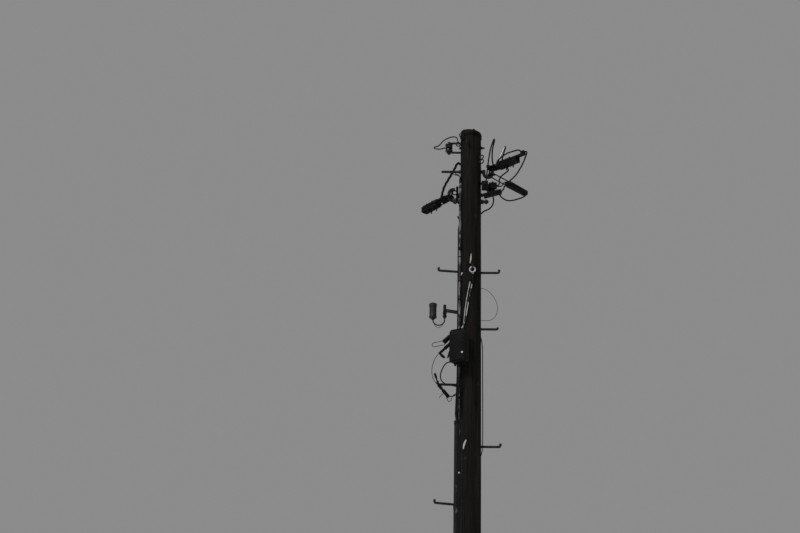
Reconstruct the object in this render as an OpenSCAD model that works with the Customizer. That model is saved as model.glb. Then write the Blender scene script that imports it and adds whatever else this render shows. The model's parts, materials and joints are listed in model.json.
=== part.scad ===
// Wooden utility pole with its steps, hooks, clamps, terminal box and cables, from ground level up.
// Millimetres, +Z up. The origin is on the pole's axis at ground level, and the steps lie along X.
// Places are given as a drop below the top of the pole and a bearing round it, from +X towards +Y.

/* [Pole] */
// Height of the pole above the ground
pole_h = 7308; // [7008:50:9008]
// Height of the sawn top's high side over the level that drops are taken from
head = 8; // [0:1:20]
// Diameter at the ground
foot_d = 166; // [150:1:210]
// Diameter at the top
top_d = 140; // [132:1:148]
// Fall of the sawn top, in degrees
top_slope = 6; // [0:1:8]
// Radius of the weathered rim
rim_r = 5; // [3:1:20]
// Depth of the drying cracks at the top
crack_depth = 30; // [10:1:40]
// Width of the drying cracks at the bark side
crack_w = 5; // [2:1:8]
// Depth of the flat that is cut under each washer and plate
flat_depth = 5; // [3:0.5:8]
// Clearance round a bolt, a step or a screw in its hole
hole_clear = 0.6; // [0.2:0.1:1.5]

/* [Steps] */
// Diameter of a step's bar
step_d = 16; // [12:1:20]
// Length of a step inside the pole
step_shank = 55; // [40:1:60]
// Radius of the bend before a step's upturned end
step_bend = 11; // [10:1:20]
// Height of the upturned end over the bar's middle
step_lip = 22; // [22:1:45]
// Distance from one step to the next
step_pitch = 400; // [350:5:420]
// Drop of the pair of steps that a climber stands on
pair_drop = 1030; // [1000:5:1060]

/* [Bolts and hooks] */
// Diameter of the hook bolts
bolt_d = 16; // [12:1:18]
// Side of a square washer
washer_w = 44; // [36:1:46]
// Thickness of a washer
washer_t = 5; // [3:0.5:8]
// Thickness of a nut, as a share of its bolt's diameter
nut_share = 0.8; // [0.6:0.05:1]
// Diameter of the rod that a hook is bent from
hook_rod = 22; // [16:1:24]
// Radius of a hook's bends, at the middle of its rod
hook_r = 29; // [27:1:34]
// Half the length of a hook's straight sides
hook_h = 12; // [8:1:16]
// Distance of a hook's middle from the pole's axis
hook_reach = 118; // [116:1:130]
// Drop of the upper hook bolt
upper_drop = 291; // [286:1:296]
// Reach of the upper hook bolt's threaded tail
upper_tail = 200; // [150:1:210]
// Drop of the lower hook bolt
lower_drop = 464; // [460:1:468]
// Reach of the lower hook bolt's threaded tail
lower_tail = 90; // [88:1:92]
// Drop of the plain bolt that runs out on both sides
cross_drop = 513; // [511:1:516]
// Diameter of the plain bolt
cross_d = 20; // [16:1:22]
// Reach of the plain bolt on each side
cross_reach = 121; // [100:1:130]

/* [Shackle] */
// Drop of the shackle's bolt
shackle_drop = 112; // [108:1:116]
// Height between the shackle's arms, at their middles
shackle_h = 70; // [66:1:80]
// Width of the shackle's strap
strap_w = 26; // [24:1:32]
// Thickness of the shackle's strap
strap_t = 5; // [4:0.5:8]
// Distance of the insulator from the pole's axis
insulator_reach = 150; // [145:1:160]
// Diameter of the reel insulator
insulator_d = 50; // [44:1:56]
// Depth of the reel's waist
waist = 8; // [5:1:10]
// Diameter of the insulator's pin
pin_d = 14; // [10:1:16]
// Diameter of the shackle's bolt
shackle_bolt_d = 12; // [10:1:14]
// Diameter of the tie round the reel's waist
tie_d = 8; // [6:1:10]

/* [Screw eyes] */
// Diameter of a screw eye's rod
eye_rod = 8; // [6:1:9]
// Radius of a screw eye, at the middle of its rod
eye_r = 14; // [12:1:18]
// Length of a screw eye inside the pole
eye_shank = 40; // [30:1:45]

/* [Clamps] */
// Diameter of the cable bundle that a clamp holds
bundle_d = 26; // [20:1:28]
// Width of a bolted clamp's jaws
jaw_w = 50; // [48:1:66]
// Height of one jaw
jaw_h = 19; // [18:1:30]
// Gap between a clamp's jaws
jaw_gap = 4; // [2:1:8]
// Length of a bolted clamp's jaws
jaw_len = 160; // [140:1:170]
// Diameter of a clamp's bolts
jaw_bolt_d = 7; // [6:1:8]
// Length of the near clamp's tongue
tongue_len = 60; // [50:1:90]
// Height of the near clamp's tongue
tongue_h = 12; // [8:1:16]
// Length of the tapered clamp
wedge_len = 187; // [170:1:200]
// Height of the tapered clamp at its root
wedge_root_h = 38; // [36:1:56]
// Height of the tapered clamp at its tip
wedge_tip_h = 31; // [30:1:36]
// Width of the tapered clamp
wedge_w = 34; // [34:1:46]
// Diameter of a bail's wire
bail_d = 8; // [6:1:9]
// Length of the near clamp's bail
near_bail_len = 80; // [76:1:84]
// Length of the far clamp's bail
far_bail_len = 168; // [164:1:172]
// Length of the left clamp's bail
left_bail_len = 126; // [122:1:130]

/* [Connectors] */
// Width of a connector
connector_w = 30; // [26:1:34]
// Diameter of a jumper
jumper_d = 10; // [8:1:11]
// Distance between the two grooves of a connector
groove_gap = 14; // [12:1:16]

/* [Ring bolt] */
// Drop of the ring bolt
ring_drop = 1016; // [1010:1:1022]
// Distance of the ring bolt from the pole's middle, to the right
ring_x = 14; // [8:1:20]
// Diameter of the ring bolt
ring_bolt_d = 14; // [12:1:16]
// Radius of the bolt's small eye
small_eye_r = 14; // [13:1:16]
// Diameter of the rod that the small eye is bent from
small_eye_rod = 9; // [8:1:10]
// Radius of the loose ring, at the middle of its rod
loose_ring_r = 18; // [17:1:32]
// Diameter of the loose ring's rod
loose_ring_rod = 9; // [8:1:11]

/* [Canister] */
// Drop of the canister's arm
arm_drop = 1298; // [1285:1:1310]
// Width of the arm's plate
arm_plate_w = 40; // [34:1:44]
// Height of the arm's plate
arm_plate_h = 70; // [60:1:80]
// Thickness of the arm's plate
arm_plate_t = 5; // [4:0.5:8]
// Distance of the tee's upright from the pole's axis
tee_reach = 169; // [160:1:180]
// Diameter of the tee's upright
tee_d = 20; // [18:1:30]
// Height of the tee's upright
tee_h = 96; // [90:1:110]
// Distance of the upright's foot below the arm
tee_foot = 54; // [48:1:60]
// Diameter of the canister
can_d = 51; // [48:1:60]
// Height of the canister
can_h = 106; // [100:1:130]
// Distance of the canister's foot below the arm
can_foot = 58; // [54:1:64]
// Diameter of the bent tube that carries the canister
can_tube_d = 8; // [6:1:14]
// Distance of the canister from the upright
can_reach = 78; // [74:1:90]
// Depth of the canister's and the tee's sockets
socket_depth = 16; // [12:1:24]

/* [Terminal box] */
// Drop of the box's top
box_drop = 1485; // [1470:1:1510]
// Height of the box
box_h = 218; // [200:1:230]
// Width of the box
box_w = 112; // [108:1:124]
// Depth of the box behind its cover
box_base_t = 40; // [34:1:50]
// Depth of the cover
box_cover_t = 30; // [20:1:36]
// Distance from the pole to the box, which its bracket bridges
box_stand = 38; // [34:1:44]
// Rounding of the box's corners
box_corner = 14; // [8:1:18]
// Width of the box's bracket
bracket_w = 48; // [40:1:50]
// Height of the box's bracket
bracket_h = 170; // [150:5:180]
// Thickness of the box's bracket
bracket_t = 4; // [3:0.5:6]
// Diameter of a gland
gland_d = 13; // [12:1:15]
// Length of a gland
gland_len = 14; // [10:1:20]
// Distance from one gland to the next
gland_pitch = 18; // [16:1:22]
// Distance of the latch from the box's middle
latch_y = 43; // [30:1:45]
// Length of a barrel clamp on the box's side
barrel_len = 60; // [50:1:70]

/* [Cables on the pole] */
// Diameter of the feed cable
feed_d = 16; // [12:1:17]
// Diameter of the terminal box's two tails
tail_d = 10; // [8:1:10]
// Height of a saddle over the feed cable
saddle_h = 18; // [12:1:24]
// Width of a saddle with its ears
saddle_w = 34; // [32:1:40]
// Thickness of a saddle
saddle_t = 3; // [2:0.5:4]

/* [Cable guard] */
// Width of the guard's channel
guard_w = 38; // [36:1:44]
// Depth of the guard's channel
guard_deep = 30; // [30:1:36]
// Thickness of the guard's metal
guard_t = 2; // [1.5:0.5:3]
// Width of a guard's flange
guard_flange = 11; // [8:1:12]
// Drop of the guard's top
guard_drop = 2069; // [2050:1:2100]
// Length of the guard's upper piece
guard_upper_len = 575; // [500:5:650]
// Length of the guard's middle piece
guard_middle_len = 2325; // [2200:5:2350]

/* [Hidden] */
STEP_COUNT = 11;
$fn = 48;
tiny = 0.01;

// A step's tread outside the pole, its drop against the even pitch, its tilt, and its turn about
// its own bar, from the top down
step_tread = [142, 120, 108, 138, 124, 150, 122, 140, 120, 142, 122];
step_shift = [-6, 0, 0, -14, 5, -10, 0, 0, 0, 0, 0];
step_tilt = [4, 0, 0, 1, 0, 5, 0, 2, 0, 1, 0];
step_roll = [0, 0, 90, 0, 0, 0, 0, 0, 0, 0, 0];
// Bearing and drop of each screw eye
SCREW_EYES = [[222, 46], [254, 105], [195, 94], [-35, 203], [-35, 236]];
// Bearing and length of each drying crack
CRACKS = [[-70, 260], [35, 180], [160, 220]];
// Length over which the feed cable and the riser draw together above the guard
gather = 130;
SADDLE_DROPS = [420, 760, 1100, 1351, guard_drop - gather - 20];

wood = [0.22, 0.18, 0.15];
zinc = [0.46, 0.47, 0.48];
black = [0.09, 0.09, 0.10];
grey = [0.20, 0.20, 0.21];
sheath = [0.45, 0.45, 0.46];
glaze = [0.24, 0.13, 0.09];

box_bearing = 240;
feed_bearing = 208;
// Bearing and dip of each clamp's cable, and the height on its hook at which its bail lies
near_way = [-40, -2, 24];
far_way = [45, 5.5, -24];
left_way = [130, 2.5, -16];
bail_play = 1.5;
bail_grip = 3;
bail_lead = 16;
// Play of a cable's end in the wide part of its clamp's channel
seat_play = 1;
// Length of a cable's end, and how much of it stands out of its clamp
end_len = 56;
end_out = 14;
seat_len = end_len - end_out;
// Height of the near clamp's tongue over the cable
tongue_z = bundle_d / 2 + 1;
tongue_w = 28;
tap_len = 28;
tap_w = 22;
tap_h = 18;
ground_drop = pole_h - head;
// Half the length of a hole's cutter through the pole
hole_reach = 150;
// Distance from the plain bolt's tip to the foot of its second nut
nut_inset = 24;
// Rods of the canister's arm: diameter, distance from the arm's middle, and rise to the tee
arm_rod_d = 7;
arm_rod_z = 9;
arm_rise = 16;
// Height of the latch over the box's middle, and of the two barrel clamps
latch_z = 19;
upper_barrel_z = 96;
lower_barrel_z = 46;
// Depth of the joint block's top below the box's top
block_below = 337;
// Drop at which the feed cable's cores leave its sheath
feed_top = 354;
// Riser beside the feed cable: its drop, bearing and distance from the bark
riser_drop = 690;
riser_d = 12;
riser_bearing = 194;
riser_out = 11;

bracket_drop = box_drop + box_h / 2;
guard_joints = [guard_drop, guard_drop + guard_upper_len,
    guard_drop + guard_upper_len + guard_middle_len];

// Radius of the pole at a drop
function pole_r(drop) = (top_d + (foot_d - top_d) * drop / ground_drop) / 2;
function height(drop) = pole_h - head - drop;
function flat_x(drop) = pole_r(drop) - flat_depth;
function unit(v) = v / norm(v);
function turn(a, b) = acos(max(-1, min(1, a * b)));
function nut_t(d) = nut_share * d;
// A point at a distance out from the bark and a shift sideways, with minus its drop as Z
function on_bark(bearing, drop, out, shift = 0) = let (r = pole_r(drop) + out)
    [r * cos(bearing) - shift * sin(bearing), r * sin(bearing) + shift * cos(bearing), -drop];
// Side and drop of each step: a pair, then right and left by turns
function step_bearing(i) = i == 0 ? 180 : i == 1 || i % 2 == 0 ? 0 : 180;
function step_drop(i) = pair_drop + max(0, i - 1) * step_pitch + step_shift[i];

// Routes of the free cables, from the top of the pole down: each Z is minus the drop
TAIL_ROUTE = [[-175, 0, -110], [-214, -2, -121], [-246, -2, -117], [-250, -2, -106], [-222, 0, -96],
    [-191, 0, -60], [-157, 0, -37], [-123, 0, -27], [-98, -8, -38], [-88, -21, -74]];
TALL_ROUTE = [[103, -34, -384], [106, -33, -350], [113, -28, -285], [121, -34, -215],
    [134, -44, -140], [150, -52, -88], [158, -54, -70], [161, -54, -80], [154, -52, -110],
    [147, -48, -150], [145, -42, -200], [149, -34, -240], [158, -28, -262], [168, -28, -268],
    [184, -36, -266]];
SHORT_ROUTE = [[186, -24, -269], [178, -16, -264], [178, -14, -236], [194, -26, -205],
    [220, -36, -142], [232, -37, -120], [236, -34, -126], [222, -18, -166], [214, 2, -204],
    [228, 16, -236], [246, 16, -252], [256, 14, -268], [246, 8, -286], [208, -4, -324],
    [195, -12, -352], [194, -17, -385], [186, -17, -399], [174, -17, -399]];
ARCH_ROUTE = [[184, -31, -258], [175, -23, -250], [178, -25, -228], [202, -38, -202],
    [245, -70, -184], [296, -112, -184], [322, -142, -192], [336, -158, -208], [344, -167, -221]];
LONG_ROUTE = [[360, -181, -223], [372, -196, -228], [376, -216, -244], [370, -220, -268],
    [352, -204, -312], [328, -184, -354], [298, -154, -389], [258, -112, -412], [230, -72, -428],
    [220, -42, -441], [208, -31, -447]];
LOW_ROUTE = [[195, -17, -464], [202, -10, -474], [222, 12, -484], [250, 52, -480], [290, 104, -456],
    [328, 156, -422], [356, 198, -394], [370, 220, -376], [376, 230, -367]];
RETURN_ROUTE = [[103, -34, -430], [108, -44, -448], [130, -50, -472], [150, -47, -490],
    [154, -36, -526], [144, -24, -554], [122, -12, -572], [92, 14, -576], [64, 56, -580],
    [6, 84, -588], [-54, 68, -598], [-84, 28, -612], [-84, -8, -630], [-76, -20, -655],
    [-74, -24, -690]];
LEFT_ROUTE = [[130, -8, -399], [114, 8, -398], [94, 32, -384], [66, 62, -345], [30, 82, -300],
    [-20, 86, -245], [-66, 60, -212], [-90, 34, -212], [-118, 38, -266], [-150, 46, -322],
    [-180, 50, -380], [-196, 54, -440], [-200, 62, -474], [-206, 70, -484]];
FAR_ROUTE = [[242, 97, -329], [230, 84, -334], [220, 60, -356], [210, 28, -384], [196, 2, -398],
    [174, -3, -399]];
SPARE_ROUTE = [[69, -14, -1146], [92, -18, -1151], [124, -22, -1172], [154, -22, -1208],
    [175, -22, -1252], [180, -22, -1300], [167, -20, -1346], [137, -18, -1371], [100, -16, -1375],
    [70, -14, -1373]];
SIDE_ROUTE = [[70, -14, -1490], [78, -18, -1530], [82, -22, -1590], [83, -24, -1800],
    [84, -24, -2100], [83, -23, -2230], [80, -20, -2270], [73, -15, -2300]];
// Cores of the feed cable, which pass below the upper hook's tail to the thick cable
CORE_ROUTES = [
    [[-71, -34, -352], [-78, -22, -330], [-90, -4, -310], [-102, 14, -302], [-112, 31, -275]],
    [[-67, -40, -352], [-79, -28, -334], [-94, -6, -318], [-108, 14, -308], [-121, 34, -292]]];
// Routes whose heights are taken from the top of the terminal box
OUTER_ROUTE = [[-200, -92, -146], [-214, -84, -157], [-232, -68, -181], [-246, -48, -221],
    [-248, -32, -267], [-236, -22, -305], [-216, -17, -331]];
INNER_ROUTE = [[-118, -90, -205], [-140, -88, -205], [-160, -80, -215], [-180, -70, -245],
    [-192, -58, -283], [-186, -44, -315], [-160, -26, -333], [-112, -20, -343], [-88, -23, -349]];
BLOCK_ROUTE = [[-138, -17, -415], [-122, -18, -415], [-106, -22, -414], [-90, -24, -405]];
// Wires from the loose ring to the box, with their heights as shares of the way down
DROP_ROUTES = [
    [[12, -84, 0], [6, -84, 0.08], [-8, -79, 0.22], [-24, -75, 0.43], [-36, -70, 0.66],
        [-44, -78, 0.87], [-50, -104, 0.95], [-51, -118, 1]],
    [[18, -84, 0], [14, -83, 0.14], [-2, -79, 0.34], [-20, -76, 0.6], [-34, -74, 0.8],
        [-60, -88, 0.94], [-76, -104, 1]]];

// Local frame at a bearing and a drop: X points away from the pole
module at_side(bearing, drop) translate([0, 0, height(drop)]) rotate(bearing) children();

// Points Z along a direction
module along(v) rotate([0, acos(v.z / norm(v)), atan2(v.y, v.x)]) children();

// A round bar bent through a list of corners
module bent_bar(points, d, bend) {
    last = len(points) - 1;
    way = [for (i = [0:last - 1]) unit(points[i + 1] - points[i])];
    corner = [for (i = [0:last]) i == 0 || i == last ? 0 : turn(way[i - 1], way[i])];
    reach = [for (a = corner) bend * tan(a / 2)];
    for (i = [0:last - 1]) {
        straight = norm(points[i + 1] - points[i]) - reach[i] - reach[i + 1];
        if (straight > tiny)
            translate(points[i] + reach[i] * way[i]) along(way[i]) cylinder(d = d, h = straight);
    }
    for (i = [1:1:last - 1]) {
        inward = unit(way[i] - (way[i] * way[i - 1]) * way[i - 1]);
        middle = points[i] - reach[i] * way[i - 1] + bend * inward;
        axis = cross(-inward, way[i - 1]);
        multmatrix([
            [-inward.x, way[i - 1].x, axis.x, middle.x],
            [-inward.y, way[i - 1].y, axis.y, middle.y],
            [-inward.z, way[i - 1].z, axis.z, middle.z],
            [0, 0, 0, 1]])
            rotate_extrude(angle = corner[i]) translate([bend, 0]) circle(d = d);
    }
}

// A closed link that lies in the XY plane and starts at the middle of its first bend
module link(len, r, d) {
    for (side = [-1, 1]) translate([0, side * r, 0]) rotate([0, 90, 0]) cylinder(d = d, h = len);
    rotate(90) rotate_extrude(angle = 180) translate([r, 0]) circle(d = d);
    translate([len, 0, 0]) rotate(-90) rotate_extrude(angle = 180) translate([r, 0]) circle(d = d);
}

// Tangents along a route, and normals carried from ring to ring without twist
function tangents(p) = [for (i = [0:len(p) - 1])
    i == 0 ? unit(p[1] - p[0])
    : i == len(p) - 1 ? unit(p[i] - p[i - 1])
    : unit(unit(p[i + 1] - p[i]) + unit(p[i] - p[i - 1]))];
function carried(n, t) = unit(n - (n * t) * t);
function normals(t, n, i = 0) =
    i == len(t) ? [] : let (m = carried(n, t[i])) concat([m], normals(t, m, i + 1));

// A cable swept along its own points, placed from a drop
module cable(points, d, sides = 8, datum = 0) {
    t = tangents(points);
    n = normals(t, abs(t[0].z) < 0.9 ? [0, 0, 1] : [1, 0, 0]);
    rings = [for (i = [0:len(points) - 1]) for (k = [0:sides - 1])
        let (a = 360 * k / sides)
        points[i] + d / 2 * (cos(a) * n[i] + sin(a) * cross(t[i], n[i]))];
    walls = [for (i = [0:len(points) - 2]) for (k = [0:sides - 1])
        let (a = i * sides + k, b = i * sides + (k + 1) % sides)
        [a, a + sides, b + sides, b]];
    ends = [[for (k = [0:sides - 1]) k],
        [for (k = [sides - 1:-1:0]) (len(points) - 1) * sides + k]];
    translate([0, 0, height(datum)]) polyhedron(points = rings, faces = concat(walls, ends));
}

module hex_nut(d) cylinder(d = 1.75 * d, h = nut_t(d), $fn = 6);

// Square washer and nut against a flat that faces +X
module washer_and_nut(face, d, w) {
    translate([face, -w / 2, -w / 2]) cube([washer_t, w, w]);
    translate([face + washer_t, 0, 0]) rotate([0, 90, 0]) hex_nut(d);
}

// Pole

// Turned outline of the pole, with a rounded rim
module pole_blank() {
    rim_x = pole_r(rim_r - head) - rim_r;
    rotate_extrude() polygon(concat(
        [[0, 0], [pole_r(ground_drop), 0]],
        [for (a = [0:15:90]) [rim_x + rim_r * cos(a), pole_h - rim_r + rim_r * sin(a)]],
        [[0, pole_h]]));
}

// Cone of the bark, made larger by a distance and longer than the pole
module pole_cone(more) {
    over = 100;
    translate([0, 0, -over]) cylinder(r1 = pole_r(ground_drop + over) + more,
        r2 = pole_r(-head - over) + more, h = pole_h + 2 * over);
}

// Hole for a bar that enters the bark on a bearing
module bark_hole(bearing, drop, d, depth, tilt = 0) {
    at_side(bearing, drop) translate([pole_r(drop), 0, 0]) rotate([0, 90 - tilt, 0])
        translate([0, 0, -depth]) cylinder(d = d + hole_clear, h = depth + 40);
}

// Flat cut under a washer or a plate
module bark_flat(bearing, drop, w, h) {
    at_side(bearing, drop) translate([flat_x(drop), -w / 2, -h / 2]) cube([40, w, h]);
}

module through_hole(drop, d) {
    translate([-hole_reach, 0, height(drop)]) rotate([0, 90, 0])
        cylinder(d = d + hole_clear, h = 2 * hole_reach);
}

// Drying crack that runs out down the pole
module crack(bearing, len) {
    rotate(bearing) translate([top_d / 2, 0, pole_h + 20]) rotate([0, -atan(crack_depth / len), 0])
        translate([0, 0, -len]) linear_extrude(len + 10)
            polygon([[-crack_depth, 0], [20, -crack_w / 2], [20, crack_w / 2]]);
}

module pole() {
    color(wood) difference() {
        pole_blank();
        // Sawn top that falls towards +X
        translate([-top_d / 2, 0, pole_h]) rotate([0, top_slope, 0])
            translate([-top_d, -top_d, 0]) cube([3 * top_d, 2 * top_d, 60]);
        for (c = CRACKS) crack(c[0], c[1]);
        for (i = [0:STEP_COUNT - 1])
            bark_hole(step_bearing(i), step_drop(i), step_d, step_shank, step_tilt[i]);
        for (bolt = [[upper_drop, bolt_d], [lower_drop, bolt_d], [cross_drop, cross_d]]) {
            through_hole(bolt[0], bolt[1]);
            for (bearing = [0, 180]) bark_flat(bearing, bolt[0], washer_w + 2, washer_w + 2);
        }
        through_hole(shackle_drop, shackle_bolt_d);
        bark_flat(180, shackle_drop, strap_w + 2, shackle_h + strap_t + 2);
        bark_flat(0, shackle_drop, strap_w + 2, strap_w + 2);
        // Ring bolt through the front
        translate([ring_x, -hole_reach, height(ring_drop)]) rotate([-90, 0, 0])
            cylinder(d = ring_bolt_d + hole_clear, h = 2 * hole_reach);
        for (side = [-1, 1]) translate([ring_x, 0, 0]) bark_flat(side * 90, ring_drop, 34, 34);
        for (e = SCREW_EYES) bark_hole(e[0], e[1], eye_rod, eye_shank);
        bark_flat(180, arm_drop, arm_plate_w + 2, arm_plate_h + 2);
        bark_flat(box_bearing, bracket_drop, bracket_w + 2, bracket_h + 2);
    }
}

module pole_step(i) {
    tread = step_tread[i];
    drop = step_drop(i);
    color(zinc) at_side(step_bearing(i), drop) translate([pole_r(drop), 0, 0])
        rotate([0, -step_tilt[i], 0]) rotate([step_roll[i], 0, 0])
            bent_bar([[-step_shank, 0, 0], [tread, 0, 0], [tread, 0, step_lip]], step_d, step_bend);
}

// Bolts and hooks

// Through bolt with a tall open hook on one bearing and a threaded tail on the other
module hook_bolt(bearing, drop, tail) {
    top = hook_h + hook_r;
    color(zinc) at_side(bearing, drop) {
        translate([-tail, 0, 0]) rotate([0, 90, 0])
            cylinder(d = bolt_d, h = tail + hook_reach - hook_r);
        for (side = [0, 180]) rotate(side) washer_and_nut(flat_x(drop), bolt_d, washer_w);
        translate([hook_reach, 0, 0]) bent_bar([[-hook_r, 0, hook_rod / 2], [-hook_r, 0, -top],
            [hook_r, 0, -top], [hook_r, 0, top], [-hook_h, 0, top]], hook_rod, hook_r - tiny);
    }
}

module upper_hook() hook_bolt(0, upper_drop, upper_tail);
module lower_hook() hook_bolt(180, lower_drop, lower_tail);

// Plain bolt whose threaded ends stand out on both sides, each with a second nut
module cross_bolt() {
    color(zinc) at_side(0, cross_drop) {
        translate([-cross_reach, 0, 0]) rotate([0, 90, 0]) cylinder(d = cross_d, h = 2 * cross_reach);
        for (side = [0, 180]) rotate(side) {
            washer_and_nut(flat_x(cross_drop), cross_d, washer_w);
            translate([cross_reach - nut_inset, 0, 0]) rotate([0, 90, 0]) hex_nut(cross_d);
        }
    }
}

// Shackle with its reel insulator

// Strap bent to a C, with its back on the pole
module top_bracket() {
    face = flat_x(shackle_drop);
    half = (shackle_h + strap_t) / 2;
    color(zinc) at_side(180, shackle_drop) difference() {
        union() {
            translate([face, -strap_w / 2, -half]) cube([strap_t, strap_w, 2 * half]);
            for (z = [-half, half - strap_t]) {
                translate([face, -strap_w / 2, z]) cube([insulator_reach - face, strap_w, strap_t]);
                translate([insulator_reach, 0, z]) cylinder(d = strap_w, h = strap_t);
            }
        }
        translate([insulator_reach, 0, -half - 1]) cylinder(d = pin_d + hole_clear, h = 2 * half + 2);
        translate([face - 1, 0, 0]) rotate([0, 90, 0])
            cylinder(d = shackle_bolt_d + hole_clear, h = strap_t + 2);
    }
}

// Bolt through the pole and the shackle's back
module top_bolt() {
    face = flat_x(shackle_drop);
    tail = face + washer_t + nut_t(shackle_bolt_d) + 14;
    color(zinc) at_side(180, shackle_drop) {
        translate([-tail, 0, 0]) rotate([0, 90, 0])
            cylinder(d = shackle_bolt_d, h = tail + face + strap_t + 2);
        translate([face + strap_t, 0, 0]) rotate([0, 90, 0]) hex_nut(shackle_bolt_d);
        rotate(180) washer_and_nut(face, shackle_bolt_d, strap_w);
    }
}

// Frame of the reel, whose foot stands on the shackle's lower arm
module at_reel() at_side(180, shackle_drop)
    translate([insulator_reach, 0, -(shackle_h - strap_t) / 2]) children();
reel_h = shackle_h - strap_t - 1;

// Glazed reel with a waist for the wire
module reel_insulator() {
    r = insulator_d / 2;
    groove = 14;
    color(glaze) at_reel() rotate_extrude() polygon(concat(
        [[pin_d / 2 + 1, 0], [r - 5, 0], [r, 5], [r, reel_h / 2 - groove]],
        [for (a = [-80:20:80]) [r - waist * cos(a), reel_h / 2 + groove * sin(a)]],
        [[r, reel_h / 2 + groove], [r, reel_h - 5], [r - 5, reel_h], [pin_d / 2 + 1, reel_h]]));
}

// Pin with a head above and a split pin below
module insulator_pin() {
    half = (shackle_h + strap_t) / 2;
    stub = 12;
    color(zinc) at_side(180, shackle_drop) translate([insulator_reach, 0, 0]) {
        translate([0, 0, -half - stub]) cylinder(d = pin_d, h = 2 * half + stub);
        translate([0, 0, half]) cylinder(d = pin_d * 1.5, h = 5);
        translate([-pin_d, 0, -half - stub / 2]) rotate([0, 90, 0]) cylinder(d = 4, h = 2 * pin_d);
    }
}

// Turn of wire in the reel's waist
module insulator_tie() {
    color(black) at_reel() translate([0, 0, reel_h / 2]) rotate_extrude()
        translate([insulator_d / 2 - waist + tie_d / 2, 0]) circle(d = tie_d);
}

module service_tail() color(black) cable(TAIL_ROUTE, tie_d);

module screw_eyes() {
    color(zinc) for (e = SCREW_EYES) at_side(e[0], e[1]) translate([pole_r(e[1]), 0, 0]) {
        translate([-eye_shank, 0, 0]) rotate([0, 90, 0]) cylinder(d = eye_rod, h = eye_shank + 6);
        translate([6 + eye_r, 0, 0]) rotate([90, 0, 0]) rotate_extrude()
            translate([eye_r, 0]) circle(d = eye_rod);
    }
}

// Strain clamps

// Middle of the rod of a hook's outer side at a height over its middle
function hook_x(level) = hook_reach + sqrt(hook_r ^ 2 - max(0, abs(level) - hook_h) ^ 2);

// Frame of a clamp: X runs out along the cable from the rod that holds its bail
module at_clamp(side, drop, way) {
    translate([side * hook_x(way[2]), 0, height(drop) + way[2]]) rotate([0, 0, way[0]])
        rotate([0, way[1], 0]) children();
}
module at_near() at_clamp(1, upper_drop, near_way) children();
module at_far() at_clamp(1, upper_drop, far_way) children();
module at_left() at_clamp(-1, lower_drop, left_way) children();

// Bent wire that goes round the hook and whose two ends turn in to the clamp's sides
module bail(len, w) {
    nose = bail_play + (hook_rod + bail_d) / 2;
    side = w / 2 + bail_d + 1;
    tip = w / 2 - bail_grip;
    color(zinc) bent_bar([[len, tip, 0], [len, side, 0], [-nose, side, 0], [-nose, -side, 0],
        [len, -side, 0], [len, -tip, 0]], bail_d, bail_d);
}

// Holes in a clamp's sides for the bail's ends
module bail_holes(len, w) {
    for (side = [-1, 1]) translate([len, side * (w / 2 - bail_grip), 0]) rotate([-side * 90, 0, 0])
        cylinder(d = bail_d + hole_clear, h = bail_grip + 1);
}

// Upright outline of one jaw, with half of the cable's channel
module jaw_outline(w, h) {
    r = 6;
    difference() {
        polygon(concat([[-w / 2, 0], [w / 2, 0]],
            [for (a = [0:30:90]) [w / 2 - r + r * cos(a), h - r + r * sin(a)]],
            [for (a = [90:30:180]) [-w / 2 + r + r * cos(a), h - r + r * sin(a)]]));
        translate([0, -jaw_gap / 2]) circle(d = bundle_d);
    }
}

// Wide part of a channel, which the cable's end fills
module cable_seat(start) translate([start - 1, 0, 0]) rotate([0, 90, 0])
    cylinder(d = bundle_d + seat_play, h = seat_len + 1);

// Two jaws drawn together by four bolts, whose studs stand out
module bolted_clamp(bail_len, tongue) {
    start = bail_len - bail_lead;
    bolt_y = (bundle_d + jaw_w) / 4;
    places = [for (share = [0.3, 0.66]) for (y = [-1, 1]) [start + share * jaw_len, y * bolt_y]];
    half = jaw_gap / 2 + jaw_h;
    color(black) difference() {
        union() {
            for (side = [0, 180]) rotate([side, 0, 0]) translate([start, 0, jaw_gap / 2])
                rotate([90, 0, 90]) linear_extrude(jaw_len) jaw_outline(jaw_w, jaw_h);
            if (tongue > 0) translate([start + jaw_len * 0.75, -tongue_w / 2, tongue_z])
                cube([jaw_len * 0.25 + tongue, tongue_w, tongue_h]);
        }
        cable_seat(start);
        for (p = places) translate([p.x, p.y, -half - 1])
            cylinder(d = jaw_bolt_d + hole_clear, h = 2 * half + 2);
        bail_holes(bail_len, jaw_w);
    }
    color(zinc) for (p = places) translate([p.x, p.y, 0]) {
        translate([0, 0, -half - 18]) cylinder(d = jaw_bolt_d, h = 2 * half + 24);
        translate([0, 0, half]) hex_nut(jaw_bolt_d);
        translate([0, 0, -half - nut_t(jaw_bolt_d)]) hex_nut(jaw_bolt_d);
    }
}

// Tapered body with a window in its side, which holds the cable by a wedge
module wedge_clamp(bail_len) {
    start = bail_len - bail_lead;
    color(black) difference() {
        translate([start, wedge_w / 2, 0]) rotate([90, 0, 0]) linear_extrude(wedge_w)
            polygon([[0, -wedge_root_h / 2 + 6], [8, -wedge_root_h / 2], [wedge_len, -wedge_tip_h / 2],
                [wedge_len, wedge_tip_h / 2], [8, wedge_root_h / 2], [0, wedge_root_h / 2 - 6]]);
        translate([start - 1, 0, 0]) rotate([0, 90, 0]) cylinder(d = bundle_d, h = wedge_len + 2);
        cable_seat(start);
        translate([start + end_len, 0, -6]) cube([wedge_len / 2, wedge_w, 12]);
        bail_holes(bail_len, wedge_w);
    }
}

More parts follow.
